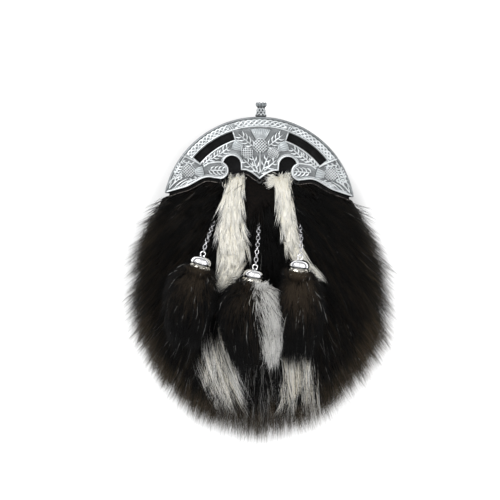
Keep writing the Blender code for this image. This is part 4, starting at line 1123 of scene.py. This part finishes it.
def stripHairs(dice, strip, kind):
    rows = strip["rows"]
    count = strip[kind["count"]]
    top = rows[0][0] * mm
    spans = {"thick": (strip["foot"] + 8 * mm, top), "crest": (top - 8 * mm, top - 2 * mm),
             "thin": [edge * mm for edge in strip["bunch"]]}
    y = dice.uniform(*spans[kind["name"]], count)
    left, right = stripEdges(rows, y)
    share = dice.uniform(0, 1, count) if kind["name"] == "thin" else dice.beta(1.5, 1.5, count)
    if kind["name"] == "thin" and strip["parted"]:
        share = np.where(dice.uniform(0, 1, count) < 0.70, 0.52 * share, 0.70 + 0.30 * share)
    x = left + (right - left) * share
    length = dice.uniform(*kind["length"], count)
    foot = strip["foot"] if kind["name"] == "thick" else stripEnd
    length = np.minimum(length, np.maximum(y - foot, 4 * mm) * dice.uniform(0.85, 1.1, count))
    nextLeft, nextRight = stripEdges(rows, y - length)
    flow = nextLeft + (nextRight - nextLeft) * share - x
    outer = np.abs(2 * share - 1)
    fan = np.where(share < 0.5, *strip["fan"]) * dice.uniform(0.0, 1.8, count)
    flow += np.minimum(length, 20 * mm) * outer ** 2.5 * fan
    flow += dice.normal(0, kind["wander"], count)
    if kind["name"] == "crest":
        flow = np.where(share < 0.5, *strip["crest"]) * (2 * share - 1) * dice.uniform(0.5, 1.2, count)
    root = np.stack([x, y], 1)
    tip = root + np.stack([flow, -length], 1)
    mid = (root + tip) / 2 + np.stack([-0.10 * flow, np.zeros(count)], 1)
    mid = mid + dice.normal(0, 0.6 * mm, (count, 2))
    rise = dice.uniform(0.0, 1.0, (2, count)) * kind["lift"]
    paths = tufts(dice, np.column_stack([root, coatZ(x, y) + 0.2 * mm]),
                  np.column_stack([mid, coatZ(*mid.T) + 0.9 * mm + rise[0]]),
                  np.column_stack([tip, coatZ(*tip.T) + 0.3 * mm + rise[1]]),
                  kind["hairs"], kind["spread"], kind["pull"], kind["frizz"], 0.72)
    tone = dice.uniform(*kind["tone"], len(paths))
    # Some hairs are greyed, more towards the strip's edges: partly greyer hair, partly painted shade in the
    # gaps between tufts.
    shadedGrey = dice.uniform(0, 1, len(paths)) < np.repeat(kind["shadedGrey"] + 0.35 * outer ** 3, kind["hairs"])
    tone[shadedGrey] = dice.uniform(0.63, 0.76, shadedGrey.sum())
    dark = dice.uniform(0, 1, len(paths)) < kind["dark"]
    tone[dark] = dice.uniform(0.02, 0.18, dark.sum())
    return paths, tone, kind["width"] * dice.uniform(0.65, 1.15, len(paths))


stripHair = [
    {"name": "thick", "count": "tufts", "length": (13 * mm, 25 * mm), "hairs": 10, "spread": 1.20 * mm,
     "pull": 0.82, "frizz": 0.80 * mm, "wander": 1.7 * mm, "lift": 3.4 * mm, "tone": (0.88, 0.99),
     "shadedGrey": 0.04, "dark": 0.006, "width": 0.36 * mm},
    {"name": "thin", "count": "thinTufts", "length": (34 * mm, 70 * mm), "hairs": 9, "spread": 2.1 * mm,
     "pull": 0.84, "frizz": 1.5 * mm, "wander": 4.6 * mm, "lift": 3.6 * mm, "tone": (0.77, 0.81),
     "shadedGrey": 0.14, "dark": 0.06, "width": 0.30 * mm},
    {"name": "crest", "count": "crestTufts", "length": (-5 * mm, 7 * mm), "hairs": 10, "spread": 1.2 * mm,
     "pull": 0.45, "frizz": 0.8 * mm, "wander": 1.0 * mm, "lift": 2.4 * mm, "tone": (0.92, 0.99),
     "shadedGrey": 0.02, "dark": 0.0, "width": 0.34 * mm},
]


def makeStrips():
    white = furFinish("white_fur", 0.60, 0.25, 1.2)
    base = undercoatFinish("white_undercoat", (0.55, 0.48, 0.34), (0.86, 0.80, 0.66))
    for number, (name, strip) in enumerate(strips.items()):
        dice = np.random.default_rng(90 + number)
        top = strip["rows"][0][0] * mm
        hairs = zip(*(stripHairs(dice, strip, kind) for kind in stripHair))
        paths, kinds, widths = (np.concatenate(part) for part in hairs)
        mesh = strandMesh("white_hair_" + name, paths, widths, kinds)
        piece = finished("white_hair_" + name, mesh, "white_fur", white)
        rings = []
        for y in np.linspace(top - 3 * mm, strip["foot"] + 3 * mm, 24):
            left, right = (float(value) for value in stripEdges(strip["rows"], y))
            left, right = left + 3.4 * mm, right - 3.4 * mm
            low, high = [], []
            for share in (0.0, 0.15, 0.35, 0.5, 0.65, 0.85, 1.0):
                x = left + (right - left) * share
                ground = float(coatZ(x, y))
                low.append((x, y, ground - 0.6 * mm))
                high.append((x, y, ground + (0.1 + 1.3 * math.sin(math.pi * share)) * mm))
            rings.append(low + high[::-1])
        backing = finished("white_skin_" + name, loftMesh("white_skin_" + name, rings), "white_fur", base)
        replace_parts(piece, "white_strip_" + name)
        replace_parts(backing, "white_strip_" + name)


makeStrips()
print("white strips done")


# Chrome caps, chains and tassels

tassels = {
    "left": {"lean": -14.0, "cap": (-44.0 * mm, 2.5 * mm), "length": 62 * mm,
             "outLeft": 20 * mm, "outRight": 18 * mm, "curl": 0.06, "emerges": 0.88, "warmth": 0.75},
    "middle": {"lean": -7.0, "cap": (-2.4 * mm, -7.0 * mm), "length": 70 * mm,
               "outLeft": 25 * mm, "outRight": 26 * mm, "curl": 0.16, "emerges": 0.52, "warmth": 0.60},
    "right": {"lean": -6.0, "cap": (33.0 * mm, 1.5 * mm), "length": 68 * mm,
              "outLeft": 12 * mm, "outRight": 22 * mm, "curl": 0.10, "emerges": 0.76, "warmth": 1.0},
}
cap = {
    "radius": 9.4 * mm,
    "height": 12 * mm,
    "eye": 1.9 * mm,
    "bands": (0.54, 0.63),          # where the dome ends and the rim begins, down the cap
    "profile": [(0.0, 0.00), (0.24, 0.008), (0.46, 0.045), (0.65, 0.115), (0.79, 0.21), (0.87, 0.33),
                (0.90, 0.44), (0.90, 0.53), (0.87, 0.57), (0.85, 0.60), (0.87, 0.64), (0.92, 0.69),
                (0.96, 0.77), (0.99, 0.86), (1.00, 0.93), (0.98, 1.00), (0.84, 1.00), (0.82, 0.97),
                (0.82, 0.72), (0.0, 0.70)],
}
link = {
    "pitch": 3.06 * mm,
    "long": 4.5 * mm,
    "wide": 3.5 * mm,
    "wire": 0.75 * mm,
    "sunk": -4.6,                   # mm from the coat's top, where the hair hides the chain
    "risen": 6.4,                   # mm that it comes up where it shows
    "tilts": (18, -14),             # degrees that the links lean, two by two
}


def tasselAxes(name):
    low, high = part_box("tassel_cap_" + name)
    lean = math.radians(tassels[name]["lean"])
    along = Vector((math.sin(lean), -math.cos(lean), 0))
    across = Vector((math.cos(lean), math.sin(lean), 0))
    return Vector((*tassels[name]["cap"], (low.z + high.z) / 2)), along, across


def makeCap(name, chrome):
    top, along, across = tasselAxes(name)
    place = Matrix((across, Vector((0, 0, 1)), along)).transposed().to_4x4()
    place.translation = top
    profile = [(r * cap["radius"], h * cap["height"]) for r, h in cap["profile"]]
    meshes = [turnedMesh("bell", profile, 48, place, [share * cap["height"] for share in cap["bands"]])]
    centre = top - along * cap["eye"] * 0.8
    ring = []
    for k in range(25):
        turn = math.tau * k / 24
        point = centre + cap["eye"] * (math.cos(turn) * along + math.sin(turn) * across)
        ring.append((*point, 0.5 * mm))
    meshes.append(strokes("eye", [ring], 2))
    piece = finished("cap_bell_" + name, joined("cap_bell_" + name, meshes), "chrome_cap", *chrome)
    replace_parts(piece, "tassel_cap_" + name)


def linkMesh():
    # A ring of wire pulled out into an oval
    pull = (link["long"] - link["wide"]) / 2
    bm = wireRing(link["wide"] / 2 - link["wire"] / 2, link["wire"] / 2, 6, 16)
    for vert in bm.verts:
        vert.co.y += math.copysign(pull, vert.co.y) if abs(vert.co.y) > 0.05 * mm else 0.0
    bmesh.ops.recalc_face_normals(bm, faces=bm.faces)
    return meshOf(bm, "link")


def makeChain(name, metal):
    tassel = tassels[name]
    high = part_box("tassel_chain_" + name)[1]
    top, along, _ = tasselAxes(name)
    start = Vector((lugs[name], high.y - 0.9 * mm, leatherTop + 1.9 * mm))
    end = top - along * (cap["eye"] * 0.8 + 1.2 * mm)
    span = (end - start).length
    a, b = start + Vector((0, -1, 0)) * span * 0.35, end - along * span * 0.35
    route = []
    for t in np.linspace(0, 1, 120):
        plan = start * (1 - t) ** 3 + a * 3 * t * (1 - t) ** 2 + b * 3 * t * t * (1 - t) + end * t ** 3
        shown = min(max((t - tassel["emerges"]) / 0.10 + 0.5, 0), 1)
        lying = float(coatZ(plan.x, plan.y)) + (link["sunk"] + link["risen"] * shown) * mm
        climb = min(max((t - 0.45) / 0.5, 0), 1)
        climb = climb * climb * (3 - 2 * climb)
        route.append((plan.x, plan.y, lying + (end.z - lying) * climb))
    route = np.array(route)
    travelled = np.concatenate([[0], np.cumsum(np.linalg.norm(np.diff(route, axis=0), axis=1))])
    count = int(travelled[-1] / link["pitch"])
    pattern = linkMesh()
    bm = bmesh.new()
    for k in range(count):
        middle = (k + 0.5) * travelled[-1] / count
        at, ahead = (Vector(np.interp(step, travelled, route[:, axis]) for axis in range(3))
                     for step in (middle, middle + 1 * mm))
        way = (ahead - at).normalized() if (ahead - at).length > 1e-6 else along
        flat = way.cross(Vector((0, 0, 1))).normalized()
        if k % 2:
            flat = flat.cross(way)
        tilt = Matrix.Rotation(math.radians(link["tilts"][k % 4 // 2]), 4, way)
        place = Matrix((flat, way, flat.cross(way))).transposed().to_4x4()
        place = Matrix.Translation(at) @ tilt @ place
        before = len(bm.verts)
        bm.from_mesh(pattern)
        bm.verts.ensure_lookup_table()
        bmesh.ops.transform(bm, matrix=place, verts=bm.verts[before:])
    bmesh.ops.recalc_face_normals(bm, faces=bm.faces)
    piece = finished("chain_links_" + name, meshOf(bm, "chain_links_" + name), "bright_chain", metal)
    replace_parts(piece, "tassel_chain_" + name)


# Down the tassel: its width and its height, as shares
tasselShape = [(0.00, 0.40, 0.82), (0.05, 0.64, 0.92), (0.13, 0.84, 0.98), (0.26, 0.97, 1.00),
               (0.42, 1.00, 0.96), (0.60, 0.92, 0.82), (0.80, 0.72, 0.55), (1.00, 0.42, 0.30)]
tasselHair = {
    "tufts": 560,
    "collarTufts": 300,
    "hairs": 8,
    "width": 0.36 * mm,
    "rooted": 0.76,                 # how far down the tassel hair still starts
    "ends": (0.87, 1.02),           # where the pale lock and the rest end
    "sweep": 0.38,                  # how far the pale lock swings out to the right
    "odd": 0.012,                   # share of odd grey hairs
    "collar": (0.88, 1.00),         # where the collar's hair ends, down the cap
}


def tasselSurface(name, s, turn, shrink):
    # A point on the tassel's body: s runs down it, turn goes round it from the right over the top
    tassel = tassels[name]
    top, along, across = tasselAxes(name)
    low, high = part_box("tassel_fur_" + name)
    mouth = np.array(top + along * cap["height"] * 0.9)
    along, across = np.array(along), np.array(across)
    spread = readOff(tasselShape, s)
    height = readOff(tasselShape, s, 2) * (high.z - low.z)
    side = np.where(np.cos(turn) > 0, tassel["outRight"], tassel["outLeft"]) * spread * shrink
    shrink = np.minimum(shrink, 1.06)
    sideways = side * np.cos(turn) + tassel["curl"] * tassel["length"] * s ** 2
    up = low.z + height / 2 + height / 2 * shrink * np.sin(turn)
    point = mouth + along * (s * tassel["length"])[..., None] + across * sideways[..., None]
    point[..., 2] = up
    return point


def tasselKinds(name, dice, s, turn):
    # Olive brown on the dome, black round it and below, pale on the right of the middle one
    count = len(s)
    across = np.cos(turn)
    kinds = dice.uniform(0.0, 0.17, count)
    warmth = np.clip(1.40 - 2.5 * s, 0, 1) * (1 - 0.95 * across ** 2) * tassels[name]["warmth"]
    brown = dice.uniform(0, 1, count) < 1.05 * warmth
    kinds[brown] = (0.22 + 0.165 * warmth * dice.uniform(0.55, 1.0, count))[brown]
    if name == "middle":
        pale = dice.uniform(0, 1, count) < np.clip((across + 0.02) * 3.0, 0, 0.93)
        kinds[pale] = dice.uniform(0.70, 0.79, pale.sum())
    odd = dice.uniform(0, 1, count) < tasselHair["odd"]
    kinds[odd] = dice.uniform(0.61, 0.66, odd.sum())
    return kinds


def collarPaths(name, dice, count, each):
    # Short hair that lies back over the cap's rim
    top, along, across = (np.array(part) for part in tasselAxes(name))
    turn = np.radians(dice.uniform(-30, 210, count))
    aside = across * np.cos(turn)[:, None] + np.array([0, 0, 1]) * np.sin(turn)[:, None]
    back = dice.uniform(*tasselHair["collar"], count)
    rows = []
    for down, out in ((np.full(count, 1.30), 0.80), (np.full(count, 1.00), 1.10), (back, 1.16)):
        rows.append(top + along * (down * cap["height"])[:, None] + aside * out * cap["radius"])
    return tufts(dice, *rows, each, 1.6 * mm, 0.30, 0.6 * mm, 0.85), np.repeat(turn, each)


def makeTassel(name, number, fur, base):
    dice = np.random.default_rng(120 + number)
    low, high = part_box("tassel_fur_" + name)
    rings = []
    around = np.linspace(0, math.tau, 21)[:-1]
    for row in tasselShape:
        s = np.full(len(around), row[0])
        rings.append([tuple(point) for point in tasselSurface(name, s * 0.92, around, 0.80)])
    body = finished("tassel_body_" + name, loftMesh("tassel_body_" + name, rings), "tassel_fur", base)
    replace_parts(body, "tassel_fur_" + name)
    count, each = tasselHair["tufts"], tasselHair["hairs"]
    s = dice.uniform(0.0, tasselHair["rooted"], count)
    turn = np.radians(dice.uniform(-35, 215, count))
    reach = (0.12 + 0.26 * np.minimum(s / 0.5, 1)) * dice.uniform(0.6, 1.25, count)
    if name == "middle":
        reach = reach * np.where(np.cos(turn) > 0.2, 1.15, 1.0)
    pale = (name == "middle") & (np.cos(turn) > -0.02)
    reach = np.minimum(reach, np.where(pale, *tasselHair["ends"]) + dice.normal(0, 0.04, count) - s)
    sweep = np.where(pale, tasselHair["sweep"], 0.0)
    rows = []
    for step, shrink in ((0, 0.76), (0.5, 1.0), (1, dice.uniform(0.92, 1.10, count))):
        at = s + reach * step
        rows.append(tasselSurface(name, at, turn * (1 - sweep * at), shrink))
    paths = tufts(dice, *rows, each, 1.5 * mm, 0.30, 2.6 * mm, 0.66)
    paths[..., 2] = np.clip(paths[..., 2], low.z - 1.0 * mm, high.z + 3.0 * mm)
    collar, collarTurn = collarPaths(name, dice, tasselHair["collarTufts"], each)
    paths = np.concatenate([paths, collar])
    s, turn = np.repeat(s, each), np.repeat(turn, each)
    kinds = tasselKinds(name, dice, np.append(s, np.zeros(len(collar))), np.append(turn, collarTurn))
    widths = tasselHair["width"] * dice.uniform(0.7, 1.15, len(paths))
    mesh = strandMesh("tassel_hair_" + name, paths, widths, kinds)
    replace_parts(finished("tassel_hair_" + name, mesh, "tassel_fur", fur), "tassel_fur_" + name)


def makeTassels():
    # The groove between each cap's dome and rim is near-black metal: painted shade and dark reflection in the
    # groove.
    chrome = [chromeFinish("chrome_cap", (0.92, 0.92, 0.93), 0.08),
              chromeFinish("chrome_groove_painted_shade", (0.10, 0.10, 0.10), 0.20),
              chromeFinish("chrome_rim", (0.56, 0.54, 0.48), 0.14)]
    metal = chromeFinish("bright_chain", (0.50, 0.50, 0.52), 0.22)
    hair = furFinish("tassel_fur", 0.50, 0.15, 1.6)
    base = undercoatFinish("tassel_undercoat", (0.002, 0.002, 0.002), (0.006, 0.005, 0.004))
    for number, name in enumerate(tassels):
        makeCap(name, chrome)
        makeChain(name, metal)
        makeTassel(name, number, hair, base)


makeTassels()
print("tassels done")
